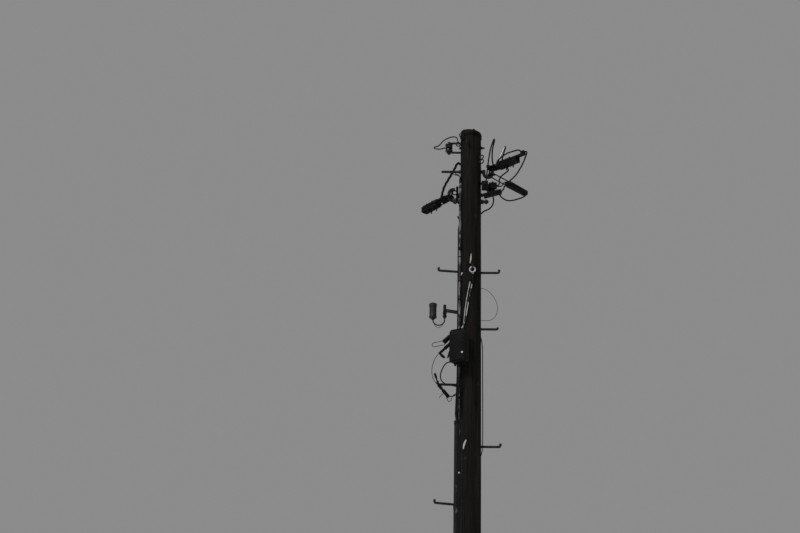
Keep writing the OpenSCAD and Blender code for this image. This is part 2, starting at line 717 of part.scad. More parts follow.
module near_clamp() at_near() bolted_clamp(near_bail_len, tongue_len);
module near_bail() at_near() bail(near_bail_len, jaw_w);
module far_clamp() at_far() wedge_clamp(far_bail_len);
module far_bail() at_far() bail(far_bail_len, wedge_w);
module left_clamp() at_left() bolted_clamp(left_bail_len, 0);
module left_bail() at_left() bail(left_bail_len, jaw_w);

// Ends of the cables in the clamps, which the jumpers go on from
module cable_end(bail_len) {
    translate([bail_len - bail_lead - end_out, 0, 0]) rotate([0, 90, 0])
        cylinder(d = bundle_d + seat_play - hole_clear, h = end_len);
}
module cable_ends() color(black) {
    at_near() cable_end(near_bail_len);
    at_far() cable_end(far_bail_len);
    at_left() cable_end(left_bail_len);
}

// Connectors and jumpers

// Two halves round the conductors, drawn together by a bolt with a shear head
module connector(len, w, h) {
    color(black) difference() {
        union() {
            for (z = [-h / 2, 1]) translate([-len / 2, -w / 2, z]) cube([len, w, h / 2 - 1]);
            translate([-len / 2 + 4, -groove_gap / 2, -2]) cube([len - 8, groove_gap, 4]);
        }
        for (y = [-1, 1]) translate([-len, y * groove_gap / 2, 0]) rotate([0, 90, 0])
            cylinder(d = jumper_d - 2, h = 2 * len);
    }
    color(zinc) translate([0, 0, h / 2]) shear_bolt();
}

module shear_bolt() {
    cylinder(d = 15, h = 8, $fn = 6);
    cylinder(d = 8, h = 15);
}

module connectors() {
    translate([96, -34, height(408)]) rotate([0, -90, 90]) connector(60, 44, 34);
    translate([150, -10, height(399)]) connector(56, connector_w, 40);
    translate([148, -24, height(464)]) rotate([0, -16, 0]) connector(124, connector_w, 30);
    // Tap on the end of the near clamp's tongue
    color(black) at_near() translate([near_bail_len - bail_lead + jaw_len + tongue_len - tap_len,
        -tap_w / 2, tongue_z + tongue_h]) cube([tap_len, tap_w, tap_h]);
}

module tall_jumper() color(black) cable(TALL_ROUTE, jumper_d);
module short_jumper() color(black) cable(SHORT_ROUTE, jumper_d);
module arch_jumper() color(black) cable(ARCH_ROUTE, jumper_d);
module long_jumper() color(black) cable(LONG_ROUTE, jumper_d);
module low_jumper() color(black) cable(LOW_ROUTE, jumper_d);
module return_jumper() color(black) cable(RETURN_ROUTE, jumper_d);
module left_jumper() color(black) cable(LEFT_ROUTE, 18);
module far_jumper() color(black) cable(FAR_ROUTE, 8);

// Ring bolt and the wires below it

function ring_bolt_y() = flat_x(ring_drop) + washer_t + small_eye_r;

module ring_bolt() {
    face = flat_x(ring_drop);
    tail = washer_t + nut_t(ring_bolt_d) + 10;
    color(zinc) translate([ring_x, 0, height(ring_drop)]) rotate(-90) {
        translate([-face - tail, 0, 0]) rotate([0, 90, 0])
            cylinder(d = ring_bolt_d, h = 2 * face + tail + washer_t + 1);
        translate([face, 0, 0]) rotate([0, 90, 0]) cylinder(d = 32, h = washer_t);
        rotate(180) washer_and_nut(face, ring_bolt_d, 32);
        translate([ring_bolt_y(), 0, 0]) rotate([90, 0, 0]) rotate_extrude()
            translate([small_eye_r, 0]) circle(d = small_eye_rod);
    }
}

// Ring that hangs in the bolt's small eye
module loose_ring() {
    sag = small_eye_r - (small_eye_rod + loose_ring_rod) / 2 - 0.3;
    color(zinc) translate([ring_x, -ring_bolt_y(), height(ring_drop) - sag - loose_ring_r])
        rotate([90, 0, 0]) rotate_extrude() translate([loose_ring_r, 0]) circle(d = loose_ring_rod);
}

module drop_tails() color(sheath) for (route = DROP_ROUTES) {
    foot_of_ring = ring_drop + small_eye_r + 2 * loose_ring_r - 2;
    cable([for (p = route) [p.x, p.y, -p.z * (box_drop - foot_of_ring)]], 6, 8, foot_of_ring);
}

module spare_loop() color(black) cable(SPARE_ROUTE, 3);

// Canister on its bent tube

module at_arm() at_side(180, arm_drop) children();

module canister_bracket() {
    face = flat_x(arm_drop);
    foot = face + arm_plate_t;
    color(zinc) at_arm() difference() {
        union() {
            translate([face, -arm_plate_w / 2, -arm_plate_h / 2])
                cube([arm_plate_t, arm_plate_w, arm_plate_h]);
            for (z = [-1, 1]) translate([foot - 2, 0, z * arm_rod_z - arm_rise])
                along([tee_reach - foot + 2, 0, arm_rise])
                    cylinder(d = arm_rod_d, h = norm([tee_reach - foot + 2, arm_rise]));
            translate([tee_reach, 0, -tee_foot]) cylinder(d = tee_d, h = tee_h - tee_d / 2);
            translate([tee_reach, 0, tee_h - tee_foot - tee_d / 2]) sphere(d = tee_d);
            for (z = [8, 30]) translate([tee_reach, 0, z - tee_foot]) cylinder(d = tee_d + 7, h = 7);
            for (z = [-1, 1]) translate([foot, z * 11, z * (arm_plate_h / 2 - 9)])
                rotate([0, 90, 0]) hex_nut(8);
        }
        translate([tee_reach, 0, -tee_foot - 1])
            cylinder(d = can_tube_d + hole_clear, h = socket_depth + 1);
    }
}

// Tube bent to a U, from the tee's socket to the canister's foot
module canister_tube() {
    low = -can_foot - can_reach / 2 - 8;
    color(black) at_arm() bent_bar([[tee_reach, 0, -tee_foot + socket_depth], [tee_reach, 0, low],
        [tee_reach + can_reach, 0, low], [tee_reach + can_reach, 0, -can_foot + socket_depth]],
        can_tube_d, can_reach / 2 - tiny);
}

module canister() {
    r = can_d / 2;
    color(grey) at_arm() translate([tee_reach + can_reach, 0, -can_foot]) difference() {
        rotate_extrude() polygon([[0, 0], [r - 8, 0], [r, 6], [r, 16], [r - 2, 18], [r - 2, can_h - 26],
            [r, can_h - 24], [r, can_h - 6], [r - 5, can_h], [0, can_h]]);
        translate([0, 0, -1]) cylinder(d = can_tube_d + hole_clear, h = socket_depth + 1);
    }
}

// Terminal box

module at_box() at_side(box_bearing, bracket_drop) children();
function box_back() = flat_x(bracket_drop) + bracket_t + box_stand;

// Channel between the pole and the box
module terminal_bracket() {
    face = flat_x(bracket_drop);
    color(zinc) at_box() {
        translate([face, -bracket_w / 2, -bracket_h / 2]) cube([bracket_t, bracket_w, bracket_h]);
        for (y = [-bracket_w / 2, bracket_w / 2 - bracket_t])
            translate([face, y, -bracket_h / 2]) cube([bracket_t + box_stand, bracket_t, bracket_h]);
        for (z = [-1, 1]) translate([face + bracket_t, 0, z * (bracket_h / 2 - 30)])
            rotate([0, 90, 0]) hex_nut(12);
    }
}

// Upright outline of the box, seen along its depth
module box_outline(inset = 0) {
    w = box_w / 2 - inset - box_corner;
    h = box_h / 2 - inset - box_corner;
    polygon([for (q = [[w, h, 0], [-w, h, 90], [-w, -h, 180], [w, -h, 270]]) for (a = [0:30:90])
        [q.x + box_corner * cos(q.z + a), q.y + box_corner * sin(q.z + a)]]);
}

module terminal_box() {
    color(black) at_box() translate([box_back(), 0, 0]) {
        rotate([90, 0, 90]) linear_extrude(box_base_t) box_outline();
        for (i = [-2:2]) translate([box_base_t / 2, i * gland_pitch, -box_h / 2 - gland_len])
            cylinder(d = gland_d, h = gland_len + 1);
    }
}

module terminal_cover() {
    lip = 4;
    step = 6;
    color(black) at_box() translate([box_back() + box_base_t, 0, 0]) {
        rotate([90, 0, 90]) linear_extrude(lip) box_outline(2);
        translate([lip, 0, 0]) rotate([90, 0, 90]) linear_extrude(box_cover_t - lip - step)
            box_outline();
        translate([box_cover_t - step, 0, 0]) rotate([90, 0, 90]) linear_extrude(step) box_outline(8);
        translate([box_cover_t, latch_y, latch_z]) rotate([0, 90, 0]) cylinder(d = 12, h = 4);
    }
}

// Barrel clamp on a stalk that leaves the box's left side at 45 degrees
module barrel(z, stalk, len, d) {
    at_box() translate([box_back() + 28, -box_w / 2 + 2, z]) rotate([0, 135, -60]) {
        cylinder(d = 12, h = stalk + 4);
        translate([0, 0, stalk]) cylinder(d1 = d - 4, d2 = d, h = len);
    }
}

module barrel_clamps() {
    color(black) {
        barrel(upper_barrel_z, 20, barrel_len, 32);
        barrel(lower_barrel_z, 36, 1.4 * barrel_len, 18);
    }
    // Wire link in the upper barrel's end
    color(zinc) at_box() translate([box_back() + 28, -box_w / 2 + 2, upper_barrel_z])
        rotate([0, 0, -60]) translate([60, 0, -60]) rotate([90, 14, 0]) link(60, 14, 4);
}

module outer_loop() color(black) cable(OUTER_ROUTE, 4, 8, box_drop);
module inner_loop() color(black) cable(INNER_ROUTE, 8, 8, box_drop);

// Joint block that leans on the fourth step, with its capped tail above
module tail_block() {
    top = [-206, -17, height(box_drop + block_below)];
    color(black) translate(top) {
        along([70, 0, -85]) {
            cylinder(d = 16, h = 108);
            cylinder(d = 20, h = 34);
            translate([0, 0, 48]) cylinder(d = 22, h = 60);
        }
        along([-24, 0, 78]) cylinder(d = 10, h = 60);
        along([-24, 0, 78]) translate([0, 0, 48]) cylinder(d = 14, h = 34);
        translate([40, 0, -50]) along([-26, 0, -28]) cylinder(d = 4, h = 52);
    }
}

module block_cable() color(black) cable(BLOCK_ROUTE, 7, 8, box_drop);
module side_cable() color(black) cable(SIDE_ROUTE, 6);

// Feed cable, which moves to one side of the guard to leave room for the riser
module feed_cable() {
    out = feed_d / 2 + 0.4;
    shift = feed_d / 2 + 0.5;
    color(sheath) cable([on_bark(feed_bearing, feed_top, out),
        on_bark(feed_bearing, guard_drop - gather, out),
        on_bark(feed_bearing, guard_drop - 10, out, shift),
        on_bark(feed_bearing, ground_drop - 1, out, shift)], feed_d, 12);
}

// Black cables that run down beside and over the feed cable, and its cores at the top
module riser_cables() color(black) {
    over = feed_d + tail_d / 2 + 1;
    gland = box_back() + box_base_t / 2 - pole_r(box_drop + box_h + gland_len);
    for (i = [-1, 0]) {
        shift = (i + 0.5) * (tail_d + 1);
        cable([on_bark(box_bearing, box_drop + box_h + gland_len, gland, i * gland_pitch),
            on_bark(box_bearing, box_drop + box_h + gland_len + 40, gland, i * gland_pitch),
            on_bark(feed_bearing, guard_drop - 40, over + 6, shift),
            on_bark(feed_bearing, guard_drop, over, shift),
            on_bark(feed_bearing, ground_drop - 1, over, shift)], tail_d, 10);
    }
    // Riser, from the end of the jumper that goes round the pole
    inside = riser_d / 2 + 1;
    cable([on_bark(198, riser_drop, inside), on_bark(riser_bearing, riser_drop + 36, riser_out),
        on_bark(riser_bearing, guard_drop - gather, riser_out),
        on_bark(feed_bearing, guard_drop - 10, inside, -riser_d / 2 - 2),
        on_bark(feed_bearing, ground_drop - 1, inside, -riser_d / 2 - 2)], riser_d, 10);
    for (route = CORE_ROUTES) cable(route, 6);
}

// Saddles that hold the feed cable on the bark
module cable_saddles() color(zinc) difference() {
    for (drop = SADDLE_DROPS) at_side(feed_bearing, drop) translate([pole_r(drop), 0, -saddle_h / 2]) {
        translate([feed_d / 2, 0, 0]) cylinder(d = feed_d + 2 * saddle_t, h = saddle_h);
        translate([-8, -saddle_w / 2, 0]) cube([8 + saddle_t, saddle_w, saddle_h]);
    }
    for (drop = SADDLE_DROPS) at_side(feed_bearing, drop)
        translate([pole_r(drop) + feed_d / 2 + 0.4, 0, -saddle_h / 2 - 1])
            cylinder(d = feed_d + hole_clear, h = saddle_h + 2);
    pole_cone(0);
}

// Cable guard

// Plain bar along the bark on the guard's bearing, from inside the bark to a height over it
module strip(top_drop, foot_drop, w, inside, outside) {
    at_side(feed_bearing, foot_drop) translate([pole_r(foot_drop), 0, 0])
        rotate([0, -atan((foot_d - top_d) / 2 / ground_drop), 0])
            translate([-inside, -w / 2, 0]) cube([inside + outside, w, foot_drop - top_drop]);
}

// One length of guard between two drops: a channel with flanges that lie on the bark
module guard(top_drop, foot_drop) {
    over = 20;
    color(zinc) intersection() {
        translate([0, 0, height(foot_drop)]) cylinder(r = foot_d, h = foot_drop - top_drop);
        difference() {
            union() {
                strip(top_drop - over, foot_drop + over, guard_w, 8, guard_deep);
                intersection() {
                    pole_cone(guard_t);
                    strip(top_drop - over, foot_drop + over, guard_w + 2 * guard_flange, 20, 20);
                }
            }
            strip(top_drop - 2 * over, foot_drop + 2 * over, guard_w - 2 * guard_t, 25,
                guard_deep - guard_t);
            pole_cone(0);
        }
    }
}
module guard_upper() guard(guard_joints[0], guard_joints[1]);
module guard_middle() guard(guard_joints[1], guard_joints[2]);
module guard_lower() guard(guard_joints[2], ground_drop);

pole();
for (i = [0:STEP_COUNT - 1]) pole_step(i);
top_bracket();
top_bolt();
reel_insulator();
insulator_pin();
insulator_tie();
service_tail();
screw_eyes();
upper_hook();
lower_hook();
cross_bolt();
near_clamp();
near_bail();
far_clamp();
far_bail();
left_clamp();
left_bail();
cable_ends();
connectors();
tall_jumper();
short_jumper();
arch_jumper();
long_jumper();
low_jumper();
return_jumper();
left_jumper();
far_jumper();
ring_bolt();
loose_ring();
drop_tails();
spare_loop();
canister();
canister_tube();
canister_bracket();
terminal_box();
terminal_cover();
terminal_bracket();
barrel_clamps();
outer_loop();
inner_loop();
tail_block();
block_cable();
side_cable();
feed_cable();
riser_cables();
cable_saddles();
guard_upper();
guard_middle();
guard_lower();
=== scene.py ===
import json
import random
from math import asin, atan2, cos, degrees, hypot, pi, radians, sin, sqrt, tan

import bmesh
import bpy
from mathutils import Matrix, Vector, noise

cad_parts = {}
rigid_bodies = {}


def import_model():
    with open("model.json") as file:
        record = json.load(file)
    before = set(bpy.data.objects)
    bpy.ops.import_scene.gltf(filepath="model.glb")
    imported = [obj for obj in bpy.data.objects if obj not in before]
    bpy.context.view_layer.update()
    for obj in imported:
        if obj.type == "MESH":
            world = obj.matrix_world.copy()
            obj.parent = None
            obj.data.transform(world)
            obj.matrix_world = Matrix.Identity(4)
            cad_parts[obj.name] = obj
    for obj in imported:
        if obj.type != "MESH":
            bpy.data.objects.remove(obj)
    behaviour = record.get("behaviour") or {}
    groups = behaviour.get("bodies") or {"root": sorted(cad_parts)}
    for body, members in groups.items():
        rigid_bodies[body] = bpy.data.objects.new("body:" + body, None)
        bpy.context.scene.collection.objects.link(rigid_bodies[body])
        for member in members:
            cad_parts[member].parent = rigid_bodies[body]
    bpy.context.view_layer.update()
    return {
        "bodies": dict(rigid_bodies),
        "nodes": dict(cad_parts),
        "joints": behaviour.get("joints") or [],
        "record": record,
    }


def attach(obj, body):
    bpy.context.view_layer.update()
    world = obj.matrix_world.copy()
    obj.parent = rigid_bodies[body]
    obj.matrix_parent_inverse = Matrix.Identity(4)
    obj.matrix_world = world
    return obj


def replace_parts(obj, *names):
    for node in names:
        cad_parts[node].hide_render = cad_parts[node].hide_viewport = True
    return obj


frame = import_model()
scene = bpy.context.scene
link = scene.collection.objects.link

MM = 0.001
# The level that drops are taken from, the high side of the sawn top over it, and the pole's radii
TOP = 7.3
POLE_H = 7.308
FOOT_R = 0.083
TOP_R = 0.070
# Drops of the fittings below TOP in millimetres, as in the part's source
SHACKLE_DROP, UPPER_DROP, LOWER_DROP, CROSS_DROP = 112, 291, 464, 513
RING_DROP, ARM_DROP, BOX_DROP = 1016, 1298, 1594


# Camera: the eye's place, the picture's focal length in its own pixels, and the turns in degrees

EYE = (0.0, -12.0, 1.6)
FOCAL = 1925
PICTURE_W, PICTURE_H = 800, 533
SENSOR = 36
PITCH, YAW, ROLL = (radians(a) for a in (21.43, 2.25, 1.06))
CLIP = (0.1, 500)


def make_camera():
    data = bpy.data.cameras.new("camera")
    data.sensor_width = SENSOR
    data.lens = FOCAL * SENSOR / PICTURE_W
    data.clip_start, data.clip_end = CLIP
    level = cos(PITCH)
    forward = Vector((-sin(YAW) * level, cos(YAW) * level, sin(PITCH)))
    right = forward.cross(Vector((0, 0, 1))).normalized()
    up = right.cross(forward)
    x = cos(ROLL) * right + sin(ROLL) * up
    y = cos(ROLL) * up - sin(ROLL) * right
    cam = bpy.data.objects.new("camera", data)
    cam.matrix_world = Matrix.Translation(EYE) @ Matrix((x, y, -forward)).transposed().to_4x4()
    link(cam)
    scene.camera = cam


make_camera()


# Materials

# Sockets of a Mix node that are for colours
MIX_FACTOR, MIX_A, MIX_B, MIX_RESULT = 0, 6, 7, 2


def nodes_of(name):
    """A new material, its tree and shader, and the place in the object's own frame."""
    m = bpy.data.materials.new(name)
    m.use_nodes = True
    tree = m.node_tree
    place = tree.nodes.new("ShaderNodeTexCoord")
    return m, tree, tree.nodes["Principled BSDF"], place.outputs["Object"]


def noise_node(tree, place, scale, detail=6.0, rough=0.55, stretch=(1, 1, 1)):
    mapping = tree.nodes.new("ShaderNodeMapping")
    mapping.inputs["Scale"].default_value = stretch
    tree.links.new(place, mapping.inputs["Vector"])
    n = tree.nodes.new("ShaderNodeTexNoise")
    n.inputs["Scale"].default_value = scale
    n.inputs["Detail"].default_value = detail
    n.inputs["Roughness"].default_value = rough
    tree.links.new(mapping.outputs["Vector"], n.inputs["Vector"])
    return n.outputs["Fac"]


def ramp(tree, fac, stops):
    r = tree.nodes.new("ShaderNodeValToRGB")
    e = r.color_ramp.elements
    while len(e) < len(stops):
        e.new(0.5)
    for item, (at, colour) in zip(e, stops):
        item.position = at
        item.color = (*colour, 1)
    tree.links.new(fac, r.inputs["Fac"])
    return r.outputs["Color"]


def mix(tree, fac, a, b):
    """Mixes two colours; each value is a socket, a number or a colour."""
    m = tree.nodes.new("ShaderNodeMix")
    m.data_type = "RGBA"
    for value, at in ((fac, MIX_FACTOR), (a, MIX_A), (b, MIX_B)):
        if hasattr(value, "links"):
            tree.links.new(value, m.inputs[at])
        else:
            m.inputs[at].default_value = value if at == MIX_FACTOR else (*value, 1)
    return m.outputs[MIX_RESULT]


def grey(v):
    return (v, v, v)


def bump(tree, shader, height, distance):
    b = tree.nodes.new("ShaderNodeBump")
    b.inputs["Distance"].default_value = distance
    tree.links.new(height, b.inputs["Height"])
    tree.links.new(b.outputs["Normal"], shader.inputs["Normal"])


def plain(name, dark, light, rough, grain, stain, stain_scale, stain_at=(0.55, 0.75), stretch=(1, 1, 1),
          metal=0.0, spec=0.5, depth=0.0004):
    """Mottled surface of two tones, with a third tone in patches, roughness that varies and a fine bump."""
    m, tree, shader, place = nodes_of(name)
    colour = ramp(tree, noise_node(tree, place, grain, stretch=stretch), [(0.3, dark), (0.72, light)])
    patches = noise_node(tree, place, stain_scale, detail=9, rough=0.62, stretch=stretch)
    spread = ramp(tree, patches, [(stain_at[0], grey(0)), (stain_at[1], grey(1))])
    tree.links.new(mix(tree, spread, colour, stain), shader.inputs["Base Color"])
    roughness = ramp(tree, patches, [(0.3, grey(rough - 0.1)), (0.75, grey(min(1, rough + 0.15)))])
    tree.links.new(roughness, shader.inputs["Roughness"])
    shader.inputs["Metallic"].default_value = metal
    shader.inputs["Specular IOR Level"].default_value = spec
    bump(tree, shader, noise_node(tree, place, grain * 4, stretch=stretch), depth)
    return m


# Colours of the bark's grain, weathered streaks and drying checks, and of the sawn top
WOOD_DARK = (0.0035, 0.003, 0.0026)
WOOD_MIDDLE = (0.007, 0.0061, 0.0053)
WOOD_LIGHT = (0.015, 0.0132, 0.0114)
WOOD_STREAK = (0.023, 0.0208, 0.0187)
WOOD_CHECK = (0.0014, 0.0012, 0.001)
RING_DARK, RING_LIGHT = (0.022, 0.019, 0.017), (0.075, 0.068, 0.060)
TOP_STAIN = (0.018, 0.016, 0.015)


def wood_material():
    """Creosoted softwood: long grain, dark checks and paler weathered streaks."""
    m, tree, shader, place = nodes_of("creosoted_wood")
    grain = noise_node(tree, place, 46, detail=9, rough=0.7, stretch=(1, 1, 0.035))
    fine = noise_node(tree, place, 170, detail=5, rough=0.6, stretch=(1, 1, 0.05))
    streak = noise_node(tree, place, 13, stretch=(1, 1, 0.09))
    check = noise_node(tree, place, 24, detail=4, rough=0.5, stretch=(1, 1, 0.045))
    colour = ramp(tree, grain, [(0.30, WOOD_DARK), (0.5, WOOD_MIDDLE), (0.72, WOOD_LIGHT)])
    colour = mix(tree, ramp(tree, streak, [(0.52, grey(0)), (0.74, grey(0.7))]), colour, WOOD_STREAK)
    colour = mix(tree, ramp(tree, fine, [(0.35, grey(0.75)), (0.6, grey(0))]), colour, WOOD_DARK)
    lines = ramp(tree, check, [(0.455, grey(0)), (0.475, grey(1)), (0.495, grey(0))])
    tree.links.new(mix(tree, lines, colour, WOOD_CHECK), shader.inputs["Base Color"])
    roughness = ramp(tree, streak, [(0.35, grey(0.62)), (0.7, grey(0.9))])
    tree.links.new(roughness, shader.inputs["Roughness"])
    shader.inputs["Specular IOR Level"].default_value = 0.1
    depth = mix(tree, lines, mix(tree, 0.5, grain, fine), grey(0))
    bump(tree, shader, depth, 0.0022)
    return m


def end_grain_material():
    """Sawn top: growth rings round the heart, greyed and stained."""
    m, tree, shader, place = nodes_of("end_grain")
    wave = tree.nodes.new("ShaderNodeTexWave")
    wave.wave_type = "RINGS"
    wave.rings_direction = "Z"
    wave.inputs["Scale"].default_value = 95
    wave.inputs["Distortion"].default_value = 2.2
    wave.inputs["Detail Scale"].default_value = 1.4
    tree.links.new(place, wave.inputs["Vector"])
    rings = ramp(tree, wave.outputs["Fac"], [(0.2, RING_DARK), (0.8, RING_LIGHT)])
    stain = ramp(tree, noise_node(tree, place, 22, detail=8), [(0.4, grey(0)), (0.62, grey(0.85))])
    tree.links.new(mix(tree, stain, rings, TOP_STAIN), shader.inputs["Base Color"])
    shader.inputs["Roughness"].default_value = 0.88
    bump(tree, shader, wave.outputs["Fac"], 0.0008)
    return m


LOOKS = {
    "weathered_zinc": dict(
        dark=(0.012, 0.012, 0.0123), light=(0.032, 0.032, 0.0326), rough=0.62, metal=0.3, grain=95,
        stain=(0.0105, 0.0083, 0.0068), stain_scale=38, stain_at=(0.48, 0.62), spec=0.2),
    # Zinc of the loose ring, made pale: its highlights painted into its colour
    "painted_highlight_zinc": dict(
        dark=(0.36, 0.365, 0.37), light=(0.62, 0.625, 0.63), rough=0.42, metal=0.4, grain=120,
        stain=(0.22, 0.215, 0.21), stain_scale=60),
    # Pale metal of the guard's rivet and the cover's knob: painted glints
    "painted_glint_metal": dict(
        dark=(0.42, 0.42, 0.415), light=(0.62, 0.62, 0.61), rough=0.6, grain=150,
        stain=(0.30, 0.295, 0.285), stain_scale=70),
    # Pale tone of the marks on the bark: painted highlights
    "painted_highlight_wood": dict(
        dark=(0.30, 0.285, 0.26), light=(0.52, 0.50, 0.465), rough=0.8, grain=160,
        stain=(0.16, 0.15, 0.135), stain_scale=55, stretch=(1, 1, 0.2), spec=0.2),
    "knot": dict(
        dark=WOOD_DARK, light=(0.014, 0.012, 0.0105), rough=0.8, grain=130,
        stain=(0.022, 0.019, 0.017), stain_scale=30, depth=0.001, spec=0.25),
    "guard_zinc": dict(
        dark=(0.005, 0.005, 0.0051), light=(0.014, 0.014, 0.0143), rough=0.7, metal=0.2, grain=70,
        stain=(0.15, 0.148, 0.145), stain_scale=24, stain_at=(0.60, 0.68), stretch=(1, 1, 0.3), spec=0.2),
    "black_plastic": dict(
        dark=(0.0028, 0.0028, 0.003), light=(0.006, 0.006, 0.0063), rough=0.66, grain=110,
        stain=(0.012, 0.0117, 0.0113), stain_scale=17, stain_at=(0.6, 0.82), depth=0.00015, spec=0.12),
    "black_sheath": dict(
        dark=(0.003, 0.003, 0.0032), light=(0.006, 0.006, 0.0063), rough=0.6, grain=140,
        stain=(0.011, 0.0107, 0.0103), stain_scale=30, stain_at=(0.6, 0.8), depth=0.0001, spec=0.15),
    "grey_sheath": dict(
        dark=(0.09, 0.09, 0.0907), light=(0.20, 0.20, 0.2015), rough=0.65, grain=60, depth=0.0002, spec=0.3,
        stain=(0.016, 0.015, 0.014), stain_scale=34, stain_at=(0.45, 0.54), stretch=(1, 1, 0.3)),
    # White of the strip along the short jumper: a painted highlight
    "painted_highlight_sheath": dict(
        dark=(0.72, 0.72, 0.71), light=(0.84, 0.84, 0.83), rough=0.55, grain=90,
        stain=(0.52, 0.515, 0.50), stain_scale=50, stain_at=(0.6, 0.75), depth=0.0001),
    # Drop wires: the pale tone is painted highlights, broken by near-black patches of the wires' own dark
    # sheath
    "glint_dashed_sheath": dict(
        dark=(0.34, 0.34, 0.34), light=(0.56, 0.56, 0.555), rough=0.6, grain=60, depth=0.0002, spec=0.3,
        stain=(0.020, 0.019, 0.018), stain_scale=30, stain_at=(0.50, 0.56), stretch=(1, 1, 0.5)),
    "dark_grey_plastic": dict(
        dark=(0.0085, 0.0086, 0.0092), light=(0.017, 0.0172, 0.0184), rough=0.55, grain=80,
        stain=(0.030, 0.0293, 0.0285), stain_scale=20, stain_at=(0.58, 0.8), depth=0.0002, spec=0.3),
    "brown_glaze": dict(
        dark=(0.009, 0.0045, 0.0033), light=(0.017, 0.008, 0.0056), rough=0.16, grain=40,
        stain=(0.030, 0.0255, 0.0215), stain_scale=26, stain_at=(0.6, 0.8), depth=0.00005, spec=0.35),
}
MATERIALS = {"creosoted_wood": wood_material(), "end_grain": end_grain_material()}
MATERIALS.update((name, plain(name, **look)) for name, look in LOOKS.items())


# Making pieces

WIRE_ROUNDING = 4


def add(obj, slot, look=None):
    """Links a new piece, gives it its look and puts it on the only body."""
    link(obj)
    obj.data.materials.append(MATERIALS[look or slot])
    bpy.context.view_layer.update()
    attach(obj, "root")
    return obj


def mesh(name, verts, faces, slot, look=None):
    """A smooth piece of points and faces, in metres."""
    data = bpy.data.meshes.new(name)
    data.from_pydata([tuple(v) for v in verts], [], faces)
    data.validate()
    for p in data.polygons:
        p.use_smooth = True
    return add(bpy.data.objects.new(name, data), slot, look)


def grid(rows, cols):
    """Faces between rows of points that close round."""
    return [(i * cols + k, i * cols + (k + 1) % cols, (i + 1) * cols + (k + 1) % cols, (i + 1) * cols + k)
            for i in range(rows - 1) for k in range(cols)]


def circle(n):
    """Angles of n points round a circle."""
    return [2 * pi * k / n for k in range(n)]


def through(points, steps=4):
    """Points on a smooth curve through the given ones."""
    p = [Vector(q) for q in points]
    p = [2 * p[0] - p[1]] + p + [2 * p[-1] - p[-2]]
    out = []
    for i in range(1, len(p) - 2):
        a, b, c, d = p[i - 1:i + 3]
        for k in range(steps):
            t = k / steps
            out.append(0.5 * (2 * b + (c - a) * t + (2 * a - 5 * b + 4 * c - d) * t * t
                              + (3 * b - a - 3 * c + d) * t ** 3))
    return out + [p[-2]]


def tangent(line, i):
    return (line[min(i + 1, len(line) - 1)] - line[max(i - 1, 0)]).normalized()


def run(points):
    """Length of a line of points."""
    return sum((b - a).length for a, b in zip(points, points[1:]))


def from_top(route):
    """A route in the part's millimetres below the top, in metres of the row frame."""
    return [Vector((x * MM, y * MM, TOP + z * MM)) for x, y, z in route]


def wire(name, points, d, slot, look=None):
    """A round wire or cable along a line of points."""
    data = bpy.data.curves.new(name, "CURVE")
    data.dimensions = "3D"
    data.bevel_depth = d / 2
    data.bevel_resolution = WIRE_ROUNDING
    data.use_fill_caps = True
    line = data.splines.new("POLY")
    line.points.add(len(points) - 1)
    for point, q in zip(line.points, points):
        point.co = (*q, 1)
    line.use_smooth = True
    return add(bpy.data.objects.new(name, data), slot, look)


# Twisted bundle: length of one turn, points round it, and a core's radius as a share of the bundle's
TWIST_LEN = 0.11
TWIST_SIDES = 36
CORE_SHARE = 0.464


def twisted(name, line, d, slot):
    """Three cores laid round each other, as one surface round a line."""
    core = CORE_SHARE * d / 2
    reach = d / 2 - core
    verts = []
    normal, gone = Vector((0, 0, 1)), 0
    for i, p in enumerate(line):
        t = tangent(line, i)
        normal = (normal - normal.dot(t) * t).normalized()
        side = t.cross(normal)
        gone += (p - line[i - 1]).length if i else 0
        for a in circle(TWIST_SIDES):
            off = (a + pi / 3) % (2 * pi / 3) - pi / 3
            r = reach * cos(off) + sqrt(max(0, core ** 2 - (reach * sin(off)) ** 2))
            b = a + 2 * pi * gone / TWIST_LEN
            verts.append(p + r * (cos(b) * side + sin(b) * normal))
    last = (len(line) - 1) * TWIST_SIDES
    ends = [tuple(range(TWIST_SIDES - 1, -1, -1)), tuple(last + k for k in range(TWIST_SIDES))]
    return mesh(name, verts, grid(len(line), TWIST_SIDES) + ends, slot)


# Cords: diameter, lay and route of each free cable, as in the part's source

